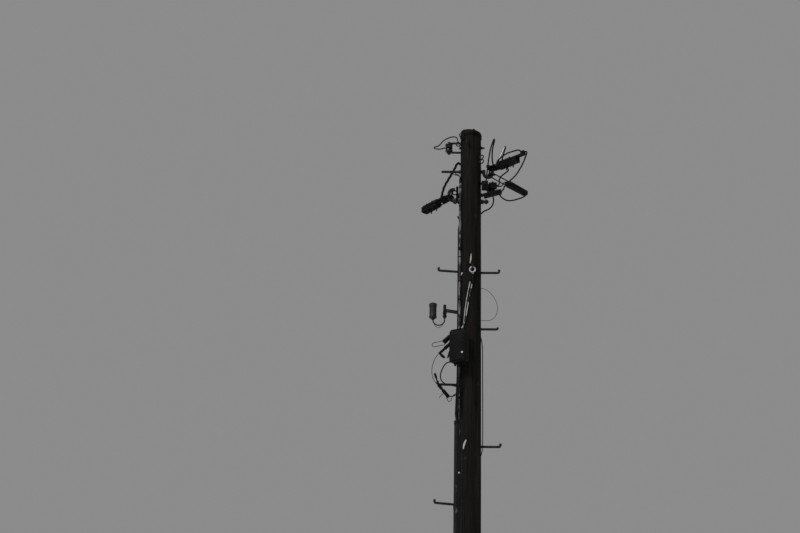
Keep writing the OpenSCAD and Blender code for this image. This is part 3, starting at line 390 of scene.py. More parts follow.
ROUTES = {
    "service_tail": (8, "hanging", [
        (-175, 0, -110), (-214, -2, -121), (-246, -2, -117), (-250, -2, -106), (-222, 0, -96),
        (-191, 0, -60), (-157, 0, -37), (-123, 0, -27), (-98, -8, -38), (-88, -21, -74)]),
    "tall_jumper": (10, "loose", [
        (103, -34, -384), (106, -33, -350), (113, -28, -285), (121, -34, -215), (134, -44, -140),
        (150, -52, -88), (158, -54, -70), (161, -54, -80), (154, -52, -110), (147, -48, -150),
        (145, -42, -200), (149, -34, -240), (158, -28, -262), (168, -28, -268), (184, -36, -266)]),
    "short_jumper": (10, "loose", [
        (186, -24, -269), (178, -16, -264), (178, -14, -236), (194, -26, -205), (220, -36, -142),
        (232, -37, -120), (236, -34, -126), (222, -18, -166), (214, 2, -204), (228, 16, -236),
        (246, 16, -252), (256, 14, -268), (246, 8, -286), (208, -4, -324), (195, -12, -352),
        (194, -17, -385), (186, -17, -399), (174, -17, -399)]),
    "arch_jumper": (10, "loose", [
        (184, -31, -258), (175, -23, -250), (178, -25, -228), (202, -38, -202), (245, -70, -184),
        (296, -112, -184), (322, -142, -192), (336, -158, -208), (344, -167, -221)]),
    "long_jumper": (10, "hanging", [
        (360, -181, -223), (372, -196, -228), (376, -216, -244), (370, -220, -268), (352, -204, -312),
        (328, -184, -354), (298, -154, -389), (258, -112, -412), (230, -72, -428), (220, -42, -441),
        (208, -31, -447)]),
    "low_jumper": (10, "hanging", [
        (195, -17, -464), (202, -10, -474), (222, 12, -484), (250, 52, -480), (290, 104, -456),
        (328, 156, -422), (356, 198, -394), (370, 220, -376), (376, 230, -367)]),
    "return_jumper": (10, "loose", [
        (103, -34, -430), (108, -44, -448), (130, -50, -472), (150, -47, -490), (154, -36, -526),
        (144, -24, -554), (122, -12, -572), (92, 14, -576), (64, 56, -580), (6, 84, -588),
        (-54, 68, -598), (-84, 28, -612), (-84, -8, -630), (-76, -20, -655), (-74, -24, -690)]),
    "left_jumper": (18, "loose", [
        (130, -8, -399), (114, 8, -398), (94, 32, -384), (66, 62, -345), (30, 82, -300),
        (-20, 86, -245), (-66, 60, -212), (-90, 34, -212), (-118, 38, -266), (-150, 46, -322),
        (-180, 50, -380), (-196, 54, -440), (-200, 62, -474), (-206, 70, -484)]),
    "spare_loop": (3, "loose", [
        (69, -14, -1146), (92, -18, -1151), (124, -22, -1172), (154, -22, -1208), (175, -22, -1252),
        (180, -22, -1300), (167, -20, -1346), (137, -18, -1371), (100, -16, -1375), (70, -14, -1373)]),
    "outer_loop": (4, "hanging", [
        (-200, -92, -1631), (-214, -84, -1642), (-232, -68, -1666), (-246, -48, -1706),
        (-248, -32, -1752), (-236, -22, -1790), (-216, -17, -1816)]),
    "inner_loop": (8, "hanging", [
        (-118, -90, -1690), (-140, -88, -1690), (-160, -80, -1700), (-180, -70, -1730),
        (-192, -58, -1768), (-186, -44, -1800), (-160, -26, -1818), (-112, -20, -1828),
        (-88, -23, -1834)]),
    "block_cable": (7, "hanging", [
        (-138, -17, -1900), (-122, -18, -1900), (-106, -22, -1899), (-90, -24, -1890)]),
    "side_cable": (6, "hanging", [
        (70, -14, -1490), (78, -18, -1530), (82, -22, -1590), (83, -24, -1800), (84, -24, -2100),
        (83, -23, -2230), (80, -20, -2270), (73, -15, -2300)]),
}
# Free wires that are only here
LOOSE = {
    "hanging_loop": (4.5, [
        (-170, -28, -1866), (-164, -32, -1886), (-152, -33, -1912), (-142, -33, -1934),
        (-132, -32, -1940), (-122, -31, -1930), (-114, -30, -1906), (-98, -28, -1888),
        (-74, -27, -1880)]),
    "canister_wire": (3, [
        (-171, -10, -1350), (-172, -14, -1376), (-180, -16, -1404), (-198, -16, -1422),
        (-216, -15, -1424), (-234, -13, -1406), (-243, -11, -1378), (-246, -9, -1358)]),
}
# Wires between the ring's foot and the box's top, with heights as shares of the way down
RING_FOOT = 1064
BOX_TOP = 1485
DROP_SHARES = [
    [(12, -84, 0), (6, -84, 0.08), (-8, -79, 0.22), (-24, -75, 0.43), (-36, -70, 0.66), (-44, -78, 0.87),
     (-50, -104, 0.95), (-51, -118, 1)],
    [(18, -84, 0), (14, -83, 0.14), (-2, -79, 0.34), (-20, -76, 0.6), (-34, -74, 0.8), (-60, -88, 0.94),
     (-76, -104, 1)]]
DROP_WIRES = [[(x, y, -RING_FOOT - share * (BOX_TOP - RING_FOOT)) for x, y, share in route]
              for route in DROP_SHARES]
FAR_ROUTE = [(242, 97, -329), (230, 84, -334), (220, 60, -356), (210, 28, -384), (196, 2, -398),
             (174, -3, -399)]
# Cables that are held at both ends: diameter, slot, look and routes
HELD = {
    "far_jumper": (8, "black_sheath", "black_sheath", [FAR_ROUTE]),
    # The drop tails' look paints highlights as pale dashes on the wire
    "drop_tails": (6, "grey_sheath", "glint_dashed_sheath", DROP_WIRES),
}

for name, (d, lay, route) in ROUTES.items():
    line = through(from_top(route))
    facts = dict(exit=tuple(line[0]), length=round(run(line), 3), diameter=d * MM, far_end="object",
                 stiffness="stiff", lay=lay)
    if name == "left_jumper":
        line = through(from_top(route), 20)
        piece = twisted(name + "_cord", line, d * MM, "black_sheath")
        facts.update(path=[tuple(p) for p in line], length=round(run(line), 3))
    else:
        piece = wire(name + "_cord", line, d * MM, "black_sheath")
    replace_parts(piece, name)
for name, (d, slot, look, routes) in HELD.items():
    for i, route in enumerate(routes):
        piece = wire("%s_%d" % (name, i + 1), through(from_top(route)), d * MM, slot, look)
        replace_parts(piece, name)


# Pole

def pole_r(z):
    return TOP_R + (FOOT_R - TOP_R) * (TOP - z) / TOP


# Points round the pole, step of its rows, and distance of further rows from the edges of the flats
COLS = 176
ROW_STEP = 0.018
EDGE = 0.0005
# Depths below TOP where the even rows stop, and of the two rows between them and the rim
ROWS_END, SHOULDER = 0.03, (0.026, 0.018)
# Sawn top: slope, radius and steps of its rim and their least rise
SLOPE = tan(radians(6))
RIM, RIM_STEPS, RISE = 0.005, 6, 0.0004
# The sawn face: its rings, how far it is sunk at most, and how fine its unevenness is
TOP_RINGS, SUNK, TOP_GRAIN = 14, 0.0006, 90
# Unevenness of the bark: share, and fineness round and along the pole, then its least and its depth
WAVES = ((1, 3.1, 2.3), (0.6, 11, 1.1))
WORN, WAVE_DEPTH = 0.0003, 0.0009
# Drying checks: how many, the seed of their draws, and how far they wander in degrees
CHECKS, CHECK_SEED, CHECK_WANDER = 64, 11, 2.2
# Cracks at the top: bearing and length, then depth and half width in degrees
TOP_CRACKS = [(-70, 0.26), (35, 0.18), (160, 0.22)]
CRACK_DEPTH, CRACK_HALF = 0.03, 2.4
# Flats under the fittings: bearing, middle and half height, then depth and half width in degrees
FLATS = [(bearing, TOP - drop / 1000, half / 1000) for bearing, drop, half in (
    *((side, drop, 23) for drop in (UPPER_DROP, LOWER_DROP, CROSS_DROP) for side in (0, 180)),
    (180, SHACKLE_DROP, 38.5), (0, SHACKLE_DROP, 14), (180, ARM_DROP, 36), (240, BOX_DROP, 86),
    (-90, RING_DROP, 17), (90, RING_DROP, 17))]
FLAT_DEPTH, FLAT_HALF = 0.005, 40
# The foot's face, as a share of the pole's radius
FOOT_SHARE = 0.985


def turn_between(a, b):
    return (a - b + 180) % 360 - 180


def side_checks():
    """Long drying checks: bearing, middle height, half length, width, depth and lean."""
    rng = random.Random(CHECK_SEED)
    return [(rng.uniform(0, 360), rng.uniform(0.1, 7.1), rng.uniform(0.12, 0.75), rng.uniform(1.4, 3.2),
             rng.uniform(0.002, 0.008), rng.uniform(-6, 6)) for _ in range(CHECKS)]


def worn_r(a, z, checks):
    """The bark's distance from the axis at a bearing, with its waves, checks, cracks and flats."""
    c, s = cos(radians(a)), sin(radians(a))
    wave = sum(share * noise.noise(Vector((c * across, s * across, z * up))) for share, across, up in WAVES)
    r = pole_r(z) - (WORN + WAVE_DEPTH * wave)
    for bearing, mid, half, width, depth, lean in checks:
        u = (z - mid) / half
        wander = CHECK_WANDER * noise.noise(Vector((bearing, z * 6, 0)))
        off = abs(turn_between(a, bearing + lean * u + wander))
        if off < width:
            r -= depth * (1 - off / width) * (1 - u * u)
    for bearing, length in TOP_CRACKS:
        fall = (z - (TOP - length)) / length
        off = abs(turn_between(a, bearing))
        if fall > 0 and off < CRACK_HALF:
            r -= CRACK_DEPTH * fall * (1 - off / CRACK_HALF)
    for bearing, mid, half in FLATS:
        off = turn_between(a, bearing)
        if abs(z - mid) < half and abs(off) < FLAT_HALF:
            r = min(r, (pole_r(mid) - FLAT_DEPTH) / cos(radians(off)))
    return r


def sawn(x):
    """Height of the sloping sawn top."""
    return POLE_H - TOP_R * SLOPE - x * SLOPE


def pole_surface():
    """The bark with a rounded rim that falls with the sawn top, that top, and the foot's face."""
    checks = side_checks()
    rows = {i * ROW_STEP for i in range(int((TOP - ROWS_END) / ROW_STEP) + 1)}
    for _, mid, half in FLATS:
        rows.update((mid - half - EDGE, mid - half + EDGE, mid + half - EDGE, mid + half + EDGE))
    verts = []
    for z in sorted(rows) + [TOP - depth for depth in SHOULDER]:
        near = [c for c in checks if abs(c[1] - z) < c[2]]
        for k in range(COLS):
            a = 360 * k / COLS
            r = worn_r(a, z, near)
            verts.append((r * cos(radians(a)), r * sin(radians(a)), z))
    shoulder = verts[-COLS:]
    for step in range(1, RIM_STEPS + 1):
        t = radians(90 / RIM_STEPS * step)
        for x, y, z in shoulder:
            a = atan2(y, x)
            r = hypot(x, y) - RIM * (1 - cos(t))
            h = sawn(r * cos(a)) + RIM * (sin(t) - 1)
            verts.append((r * cos(a), r * sin(a), max(z + RISE, h)))
    body = mesh("pole_surface", verts, grid(len(verts) // COLS, COLS), "creosoted_wood")
    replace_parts(body, "pole")

    face = []
    for i in range(TOP_RINGS):
        f = 1 - i / TOP_RINGS
        for x, y, _ in verts[-COLS:]:
            lift = SUNK * noise.noise(Vector((x * f * TOP_GRAIN, y * f * TOP_GRAIN, 3)))
            face.append((x * f, y * f, sawn(x * f) + lift - SUNK))
    last, heart = (TOP_RINGS - 1) * COLS, TOP_RINGS * COLS
    fan = [(last + k, last + (k + 1) % COLS, heart) for k in range(COLS)]
    mesh("pole_top", face + [(0, 0, sawn(0))], grid(TOP_RINGS, COLS) + fan, "creosoted_wood", "end_grain")

    r = pole_r(0) * FOOT_SHARE
    foot = [(r * cos(a), r * sin(a), 0) for a in circle(COLS)] + [(0, 0, 0)]
    mesh("pole_foot", foot, [((k + 1) % COLS, k, COLS) for k in range(COLS)], "creosoted_wood", "end_grain")


pole_surface()


# CAD nodes: softened edges, smooth normals and their own looks

SLOT_OF = {s["node"]: s["material_slot"] for s in frame["record"]["subparts"]}
SHARP = radians(38)
# Bevels in millimetres: the usual one, and those that differ from it
BEVEL = 0.5
BEVELS = {"terminal_box": 2.5, "terminal_cover": 2.5, "near_clamp": 1.2, "far_clamp": 2, "left_clamp": 1.2,
          "connectors": 1, "canister": 1.2, "tail_block": 1, "barrel_clamps": 0.8, "canister_bracket": 1,
          "top_bracket": 0.8}


def dress(name, obj):
    obj.data.materials.clear()
    # The loose ring's pale zinc is a painted highlight
    obj.data.materials.append(MATERIALS["painted_highlight_zinc" if name == "loose_ring" else SLOT_OF[name]])
    for p in obj.data.polygons:
        p.use_smooth = True
        p.material_index = 0
    weld = obj.modifiers.new("weld", "WELD")
    weld.merge_threshold = 0.00001
    bevel = obj.modifiers.new("bevel", "BEVEL")
    bevel.width = BEVELS.get(name, BEVEL) * MM
    bevel.segments = 2
    bevel.limit_method = "ANGLE"
    bevel.angle_limit = radians(40)
    bevel.use_clamp_overlap = True
    split = obj.modifiers.new("split", "EDGE_SPLIT")
    split.split_angle = SHARP


# Trim: small hardware on the CAD nodes, in millimetres of the frames that carry it

PART = Matrix()


def shift(x, y, z):
    return Matrix.Translation((x, y, z))


def turn_x(a):
    return Matrix.Rotation(radians(a), 4, "X")


def turn_y(a):
    return Matrix.Rotation(radians(a), 4, "Y")


def turn_z(a):
    return Matrix.Rotation(radians(a), 4, "Z")


def at_side(bearing, drop):
    """Frame on the pole's axis at a drop, with X towards a bearing."""
    return shift(0, 0, TOP / MM - drop) @ turn_z(bearing)


def along(v):
    """Turn that lays Z along a way."""
    return Vector(v).to_track_quat("Z", "Y").to_matrix().to_4x4()


def bark(drop):
    return pole_r(TOP - drop * MM) / MM


class Gather:
    """Closed simple shapes that make up one named piece."""

    def __init__(self):
        self.bm = bmesh.new()

    def ring(self, frame, points):
        return [self.bm.verts.new(frame @ Vector(p) * MM) for p in points]

    def skin(self, rings, closed=False):
        """Joins rings of points, each of one point or of a shared number, into a closed shape."""
        for a, b in zip(rings, rings[1:] + (rings[:1] if closed else [])):
            n = max(len(a), len(b))
            for k in range(n):
                j = (k + 1) % n
                corners = []
                for v in (a[k % len(a)], a[j % len(a)], b[j % len(b)], b[k % len(b)]):
                    if v not in corners:
                        corners.append(v)
                self.bm.faces.new(corners)
        if not closed:
            for end in (rings[0], rings[-1]):
                if len(end) > 2:
                    self.bm.faces.new(end)

    def lathe(self, frame, profile, sides=20, closed=False):
        """Turned shape: radius and height of each point of its profile."""
        self.skin([self.ring(frame, [(r * cos(a), r * sin(a), z)
                                     for a in circle(sides if r > 0 else 1)]) for r, z in profile], closed)

    def torus(self, frame, big, small, z=0, sides=28):
        section = [(big + small * cos(t), z + small * sin(t)) for t in circle(8)]
        self.lathe(frame, section, sides, True)

    def sleeve(self, frame, inner, outline, sides=24):
        """Ring round a rod: the outline's last and first points are joined inside it."""
        self.lathe(frame, [(inner, outline[0][1])] + outline + [(inner, outline[-1][1])], sides, True)

    def block(self, frame, size, soft=0.8):
        scale = Matrix.Diagonal((*size, 1))
        made = bmesh.ops.create_cube(self.bm, size=1, matrix=Matrix.Scale(MM, 4) @ frame @ scale)
        edges = list({e for v in made["verts"] for e in v.link_edges})
        bmesh.ops.bevel(self.bm, geom=edges, offset=soft * MM, segments=2, profile=0.5, affect="EDGES")

    def prism(self, frame, outline, height):
        self.skin([self.ring(frame, [(x, y, z) for x, y in outline]) for z in (0, height)])

    def hexagon(self, frame, r, h, soft=0.8):
        self.lathe(frame, [(r - soft, 0), (r, soft), (r, h - soft), (r - soft, h)], 6)

    def tube(self, frame, points, widths, sides=10):
        """Bar along points, with one width or a width at each."""
        p = [Vector(q) for q in points]
        widths = widths if isinstance(widths, (list, tuple)) else [widths] * len(p)
        normal = Vector((0, 0, 1))
        rings = []
        for i, (q, w) in enumerate(zip(p, widths)):
            t = tangent(p, i)
            if i == 0 and abs(t.z) > 0.9:
                normal = Vector((1, 0, 0))
            normal = (normal - normal.dot(t) * t).normalized()
            side = t.cross(normal)
            rings.append(self.ring(frame, [q + w / 2 * (cos(a) * side + sin(a) * normal)
                                           for a in circle(sides)]))
        self.skin(rings)

    def done(self, name, slot, look=None):
        bmesh.ops.recalc_face_normals(self.bm, faces=self.bm.faces)
        data = bpy.data.meshes.new(name)
        self.bm.to_mesh(data)
        self.bm.free()
        for p in data.polygons:
            p.use_smooth = True
        data.set_sharp_from_angle(angle=SHARP)
        return add(bpy.data.objects.new(name, data), slot, look)


# Frames of the three clamps, as in the part's source: side, drop, bearing, dip and height on the hook
HOOK_REACH, HOOK_R, HOOK_H = 118, 29, 12


def at_clamp(side, drop, bearing, dip, lift):
    reach = HOOK_REACH + sqrt(HOOK_R ** 2 - max(0, abs(lift) - HOOK_H) ** 2)
    return shift(side * reach, 0, TOP / MM - drop + lift) @ turn_z(bearing) @ turn_y(dip)


NEAR = at_clamp(1, UPPER_DROP, -40, -2, 24)
FAR = at_clamp(1, UPPER_DROP, 45, 5.5, -24)
LEFT = at_clamp(-1, LOWER_DROP, 130, 2.5, -16)
# Where each clamp's body starts, and the two clamps that have jaws
NEAR_START, FAR_START, LEFT_START = 64, 152, 110
JAWED = ((NEAR, NEAR_START), (LEFT, LEFT_START))
# Half the jaws' width and height, their length, the places of their studs and the room round a stud
JAW_HALF_W, JAW_HALF_H, JAW_LEN = 25, 21, 160
STUDS = [(share * JAW_LEN, y) for share in (0.3, 0.66) for y in (-19, 19)]
STUD_ROOM = 9
# The far clamp's length, half height, and how much thinner it gets
FAR_LEN, FAR_HALF_H, FAR_TAPER = 187, 19, 3.5
# Saddles in which the bails lie on the hooks: clamp and width
SADDLES = ((NEAR, 46), (FAR, 34), (LEFT, 46))
# Blocks on the hooks: bearing, drop, height above the hook's bolt and length, and their way out
HOOK_BLOCKS, HOOK_BLOCK_OUT = ((0, UPPER_DROP, 0, 34), (180, LOWER_DROP, 14, 36)), 128
# Cores of the clamps' cables: width, radius of their lay, step and turn from point to point, and cut end
CORE_W, CORE_LAY, CORE_STEP, CORE_TURN = 10.8, 7.6, 4, 3.6
CORE_TIP = [(3.4, -1), (3.4, 1.6), (2.9, 2.2), (0, 2.2)]
# Threads of the bolts: bearing, drop, way to the side, radius, start, end and pitch
THREADS = ((180, UPPER_DROP, 0, 8, 85, 199, 2.6), (0, LOWER_DROP, 0, 8, 84.2, 89.6, 1.7),
           (0, CROSS_DROP, 0, 10, 88, 96.5, 2.6), (0, CROSS_DROP, 0, 10, 113.6, 120.5, 2.2),
           (180, CROSS_DROP, 0, 10, 88, 96.5, 2.6), (180, CROSS_DROP, 0, 10, 113.6, 120.5, 2.2),
           (0, SHACKLE_DROP, 0, 6, 80.5, 93, 2.6), (90, RING_DROP, -14, 7, 83.6, 92.4, 2.6))
# A stud's thread: radius, start, end, pitch and sides
STUD_THREAD = (3.5, 27, 38.4, 1.7, 12)


def threads():
    """Threads of the bolts' tails and of the clamps' studs."""
    g = Gather()

    def thread(frame, r, start, end, pitch, sides=20):
        teeth = []
        for i in range(int((end - start) / pitch)):
            teeth += [(r + 0.05, start + i * pitch), (r + 0.55, start + (i + 0.5) * pitch)]
        g.sleeve(frame, r - 0.5, teeth + [(r + 0.05, teeth[-1][1] + pitch / 2)], sides)

    for bearing, drop, y, *bolt in THREADS:
        thread(at_side(bearing, drop) @ shift(0, y, 0) @ turn_y(90), *bolt)
    for clamp, start in JAWED:
        for s, y in STUDS:
            thread(clamp @ shift(start + s, y, 0) @ turn_y(180), *STUD_THREAD)
    g.done("bolt_threads", "weathered_zinc")


def clamp_ribs():
    """Ribs over and beside the jaws, and on the far clamp."""
    g = Gather()
    for (clamp, start), last in zip(JAWED, (112, 156)):
        for s in range(6, last, 8):
            if min(abs(s - stud[0]) for stud in STUDS) > STUD_ROOM:
                for side in (1, -1):
                    g.block(clamp @ shift(start + s, 0, side * (JAW_HALF_H + 2.5)), (3, 38, 8))
        for side in (-1, 1):
            for z in (9, -9):
                g.block(clamp @ shift(start + JAW_LEN / 2, side * (JAW_HALF_W + 0.6), z),
                        (JAW_LEN - 44, 2.4, 4), 0.6)
    for side in (-1, 1):
        for s in range(FAR_START + 70, FAR_START + 167, 16):
            half = FAR_HALF_H - FAR_TAPER * (s - FAR_START) / FAR_LEN
            g.block(FAR @ shift(s, 0, side * half), (4, 26, 3.4))
    g.done("clamp_ribs", "black_plastic")


def bail_sleeves():
    """Sleeves on the bails' wires, saddles on the hooks, and ribbed blocks between hook and clamp."""
    g = Gather()
    for clamp, start in JAWED:
        ribs = []
        s = 5
        while s < start - 12:
            ribs += [(5.4, s), (6.8, s + 1), (6.8, s + 4.5), (5.4, s + 5.5)]
            s += 7.5
        for side in (-1, 1):
            g.sleeve(clamp @ shift(0, side * (JAW_HALF_W + 9), 0) @ turn_y(90), 3.8, ribs, 16)
    for clamp, width in SADDLES:
        g.block(clamp @ shift(-17.3, 0, 0), (12, width, 17), 2)
        for side in (-1, 1):
            g.block(clamp @ shift(-3, side * width / 2, 0), (30, 8, 14), 2)
    for side, drop, lift, height in HOOK_BLOCKS:
        g.block(at_side(side, drop) @ shift(HOOK_BLOCK_OUT, 0, lift), (11, 26, height), 2)
    for clamp, start in JAWED:
        length = start - 34
        g.block(clamp @ shift(14 + length / 2, 0, 0), (length, 44, 12), 2)
        for s in range(18, 18 + length // 9 * 9, 9):
            g.block(clamp @ shift(s, 0, 0), (3.4, 54, 20), 1)
    g.done("bail_sleeves", "black_plastic")


def cable_cores():
    """The four cores of each clamp's cable, and their cut ends."""
    cores, tips = Gather(), Gather()
    for clamp, start in ((NEAR, NEAR_START), (FAR, FAR_START), (LEFT, LEFT_START)):
        for bearing in (45, 135, 225, 315):
            way = []
            for i in range(15):
                a = radians(bearing + CORE_TURN * i)
                way.append((start - 14 + CORE_STEP * i, CORE_LAY * cos(a), CORE_LAY * sin(a)))
            cores.tube(clamp, way, CORE_W, 16)
            tips.lathe(clamp @ shift(*way[0]) @ turn_y(-90), CORE_TIP, 14)
    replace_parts(cores.done("cable_cores", "black_sheath"), "cable_ends")
    tips.done("core_tips", "weathered_zinc")


# Frame of the terminal box, the distances of its back and its cover's face, and half its height and width
BOX = at_side(240, BOX_DROP)
BOX_BACK, BOX_HALF_H, BOX_HALF_W = 109.8, 109, 56
BOX_FACE = BOX_BACK + 70
# Barrel clamps on its side: height, stalk, length, radii at foot and top, and step of the ribs
BARRELS = ((96, 20, 60, 14, 16, 8), (46, 36, 84, 7, 9, 7.5))
# Sleeves over the lower barrel: bore and outline
BARREL_SLEEVES = (
    (5.8, [(9, 5), (11.5, 7), (11.5, 12), (9.5, 13), (9.5, 15), (11.5, 16), (11.5, 21), (9.5, 22),
           (9.5, 24), (11.5, 25), (11.5, 30), (9, 33)]),
    (6.5, [(9.5, 36), (12, 38), (12, 46), (10.5, 47), (10.5, 49), (12, 50), (12, 58), (10.5, 59),
           (10.5, 61), (12, 62), (12, 68), (9.5, 71)]))
HINGE = [(0, 0), (3.6, 0), (4.2, 0.8), (4.2, 8), (3.4, 8.4), (3.4, 9), (4.2, 9.4), (4.2, 16.6), (3.4, 17),
         (3.4, 17.6), (4.2, 18), (4.2, 25.2), (3.6, 26), (0, 26)]
# Cover: half the height and width of its raised frame, places of its screws and of its knob, and its catch
FRAME_Z, FRAME_Y, SCREW_Z, SCREW_Y = 72, 37, 97, 47
KNOB_Y, KNOB_Z, CATCH_Z = 44, -56, 19
# Glands below: distances from the back and from each other, and those that hold a cable
GLAND_OUT, GLAND_STEP, GLANDS_IN_USE = 20, 18, (-1, 0)


def box_detail():
    """The box's barrel ribs and sleeves, hinges, glands, cover frame and hood, and its screws and knob."""
    g = Gather()
    for z, stalk, length, foot_r, top_r, step in BARRELS:
        barrel = BOX @ shift(BOX_BACK + 28, 2 - BOX_HALF_W, z) @ turn_z(-60) @ turn_y(135)
        s = 5
        while s < length - 2:
            g.torus(barrel, foot_r + (top_r - foot_r) * s / length, 1.5, stalk + s, 24)
            s += step
    for bore, outline in BARREL_SLEEVES:
        g.sleeve(barrel, bore, outline)
    for z in (-80, 5):
        g.lathe(BOX @ shift(BOX_BACK + 41, -BOX_HALF_W - 1, z - 13), HINGE, 16)
    # Gland nuts, with seals in those that hold no cable
    for i in range(-2, 3):
        foot = BOX @ shift(BOX_BACK + GLAND_OUT, GLAND_STEP * i, -BOX_HALF_H)
        g.hexagon(foot @ shift(0, 0, -6), 8.4, 6)
        g.torus(foot, 5.9, 1, -14, 20)
        if i not in GLANDS_IN_USE:
            g.lathe(foot @ shift(0, 0, -15.5), [(0, 0), (3, 0.4), (5, 1.6), (5, 3), (0, 3)], 16)
    # Raised frame of the cover, its catch, and the hood over its top edge
    for z in (-FRAME_Z, FRAME_Z):
        g.block(BOX @ shift(BOX_FACE + 0.5, 0, z), (2.4, 2 * FRAME_Y + 4, 5))
    for y in (-FRAME_Y, FRAME_Y):
        g.block(BOX @ shift(BOX_FACE + 0.5, y, 0), (2.4, 5, 2 * FRAME_Z + 4))
    g.block(BOX @ shift(BOX_FACE + 4.5, 43, CATCH_Z), (2.4, 2.4, 9), 0.5)
    g.block(BOX @ shift(BOX_BACK + 55, BOX_HALF_W + 0.5, CATCH_Z), (16, 3, 26))
    g.block(BOX @ shift(BOX_BACK + 58, 0, BOX_HALF_H + 0.6), (22, 84, 3), 1)
    g.done("box_detail", "black_plastic")

    screws = Gather()
    for y in (-SCREW_Y, SCREW_Y):
        for z in (-SCREW_Z, SCREW_Z):
            head = BOX @ shift(BOX_FACE - 6.2, y, z) @ turn_y(90)
            screws.lathe(head, [(5, 0), (5, 1.2), (3.6, 2.4), (0, 2.6)], 16)
    screws.done("cover_screws", "weathered_zinc")
    # The knob's pale colour is a painted glint on the dark cover
    knob = Gather()
    knob.lathe(BOX @ shift(BOX_FACE - 0.4, KNOB_Y, KNOB_Z) @ turn_y(90),
               [(7, 0), (7, 2), (5.5, 3.6), (0, 4.2)])
    knob.done("cover_knob", "grey_sheath", "painted_glint_metal")


# Bearing of the feed cable and the guard, how far the cable lies off the bark, and the guard's size
FEED_BEARING, FEED_OUT = 208, 8.4
GUARD_HALF_W, GUARD_DEEP, NAIL_Y = 19, 30, 24.5
NAIL_DROPS = [2096, 2340, 2612, *range(2680, 4669, 284), 4936, 5004, *range(5280, 7213, 276)]
# Bands over the guard's joints: drop of the middle and height
BANDS = ((2083, 20), (2644, 34), (4969, 34))
# Straps on the feed cable: drop, radius and height
STRAPS = ((560, 11, 7), (872, 13.5, 16), (930, 10.5, 6), (1235, 11, 7), (1505, 11, 7), (1700, 11, 7),
          (1780, 11, 7), (1880, 11, 7))
# Joint block below the box: frames of its lower and upper barrel
JOINT = shift(-206, -17, TOP / MM - 1822)
JOINT_DOWN, JOINT_UP = JOINT @ along((70, 0, -85)), JOINT @ along((-24, 0, 78))


def guard_detail():
    """Nails, bands and the rivet of the cable guard, painted pale as a glint."""
    nails = Gather()
    for drop in NAIL_DROPS:
        r = bark(drop) + 1.8
        for side in (-1, 1):
            a = degrees(asin(NAIL_Y / r))
            nails.lathe(at_side(FEED_BEARING + side * a, drop) @ shift(r, 0, 0) @ turn_y(90),
                        [(4.6, 0), (4.6, 0.7), (3.2, 1.7), (0, 2.1)], 14)
    nails.done("guard_nails", "weathered_zinc")

    bands = Gather()
    for drop, h in BANDS:
        r, w, d = bark(drop), GUARD_HALF_W, GUARD_DEEP
        outline = [(r - 2, -w - 1.4), (r + d + 1.4, -w - 1.4), (r + d + 1.4, w + 1.4), (r - 2, w + 1.4),
                   (r - 2, w - 0.3), (r + d - 0.3, w - 0.3), (r + d - 0.3, 0.3 - w), (r - 2, 0.3 - w)]
        bands.prism(at_side(FEED_BEARING, drop + h / 2), outline, h)
    bands.done("guard_bands", "guard_zinc")

    # The rivet is painted pale: a glint on the dark guard
    rivet = Gather()
    rivet.lathe(at_side(FEED_BEARING, 2424) @ shift(86.4, GUARD_HALF_W - 0.3, 0) @ turn_x(-90),
                [(6, 0), (6, 1), (4.4, 2.6), (0, 3.2)], 16)
    rivet.done("guard_rivet", "guard_zinc", "painted_glint_metal")


def cable_straps():
    """Straps and boot on the feed cable, collars of the joint block, and dark grips on the drop wires."""
    g = Gather()
    for drop, r, h in STRAPS:
        feed = at_side(FEED_BEARING, drop + h / 2) @ shift(bark(drop) + FEED_OUT, 0, 0)
        g.sleeve(feed, 7.9, [(r - 1, 0), (r, 1), (r, h - 1), (r - 1, h)])
    boot = at_side(FEED_BEARING, 392) @ shift(bark(370) + FEED_OUT, 0, 0)
    g.lathe(boot, [(0, 0), (9.2, 0), (9.6, 1.5), (9.3, 26), (6.8, 46), (5.6, 47), (0, 47)])
    for s in range(4, 29, 8):
        g.torus(JOINT_DOWN, 10.3, 1.3, s)
    for s in range(52, 106, 7):
        g.torus(JOINT_DOWN, 11.2, 1.5, s)
    for s in range(52, 82, 5):
        g.torus(JOINT_UP, 7.1, 1.1, s, 20)
    for route, count in zip(DROP_WIRES, (13, 11)):
        g.tube(PART, [p / MM for p in through(from_top(route), 8)[1:count]], 9)
    g.done("cable_straps", "black_plastic")


# Frame of the canister's arm, and how far out on it the tee and the canister stand
ARM = at_side(180, ARM_DROP)
TEE_OUT, CAN_OUT = 169, 247


def arm_detail():
    """Rings and rib of the arm's tee, and bands and nut of the canister."""
    tee = Gather()
    foot = ARM @ shift(TEE_OUT, 0, -54)
    for z in [17.5 + 3 * i for i in range(4)] + [40 + 3 * i for i in range(5)]:
        tee.torus(foot @ shift(0, 0, z), 10.4, 1.1, 0, 24)
    for z in (9, 11.5, 14, 31, 33.5, 36):
        tee.torus(foot @ shift(0, 0, z), 13.6, 0.8, 0, 24)
    tee.block(ARM @ shift(119.7, 0, -8) @ turn_y(-9.2), (98, 4, 13), 1)
    tee.done("tee_detail", "weathered_zinc")
    can = Gather()
    for z, r in ((-41, 24.2), (23, 24.2), (42, 25.2)):
        can.torus(ARM @ shift(CAN_OUT, 0, z), r, 1.4, 0, 36)
    can.hexagon(ARM @ shift(CAN_OUT, 0, -68), 9, 10.5)
    can.done("canister_bands", "dark_grey_plastic")


# Turns of the binding wire: drop and lean; and the route of the painted highlight, a white strip along the
# short jumper
BINDING = ((26, 2.5), (34, 1.2), (42, 2))
HIGHLIGHT_STRIP = [(182, -21, -228), (195, -31, -203), (220, -41, -143), (229, -42, -126)]


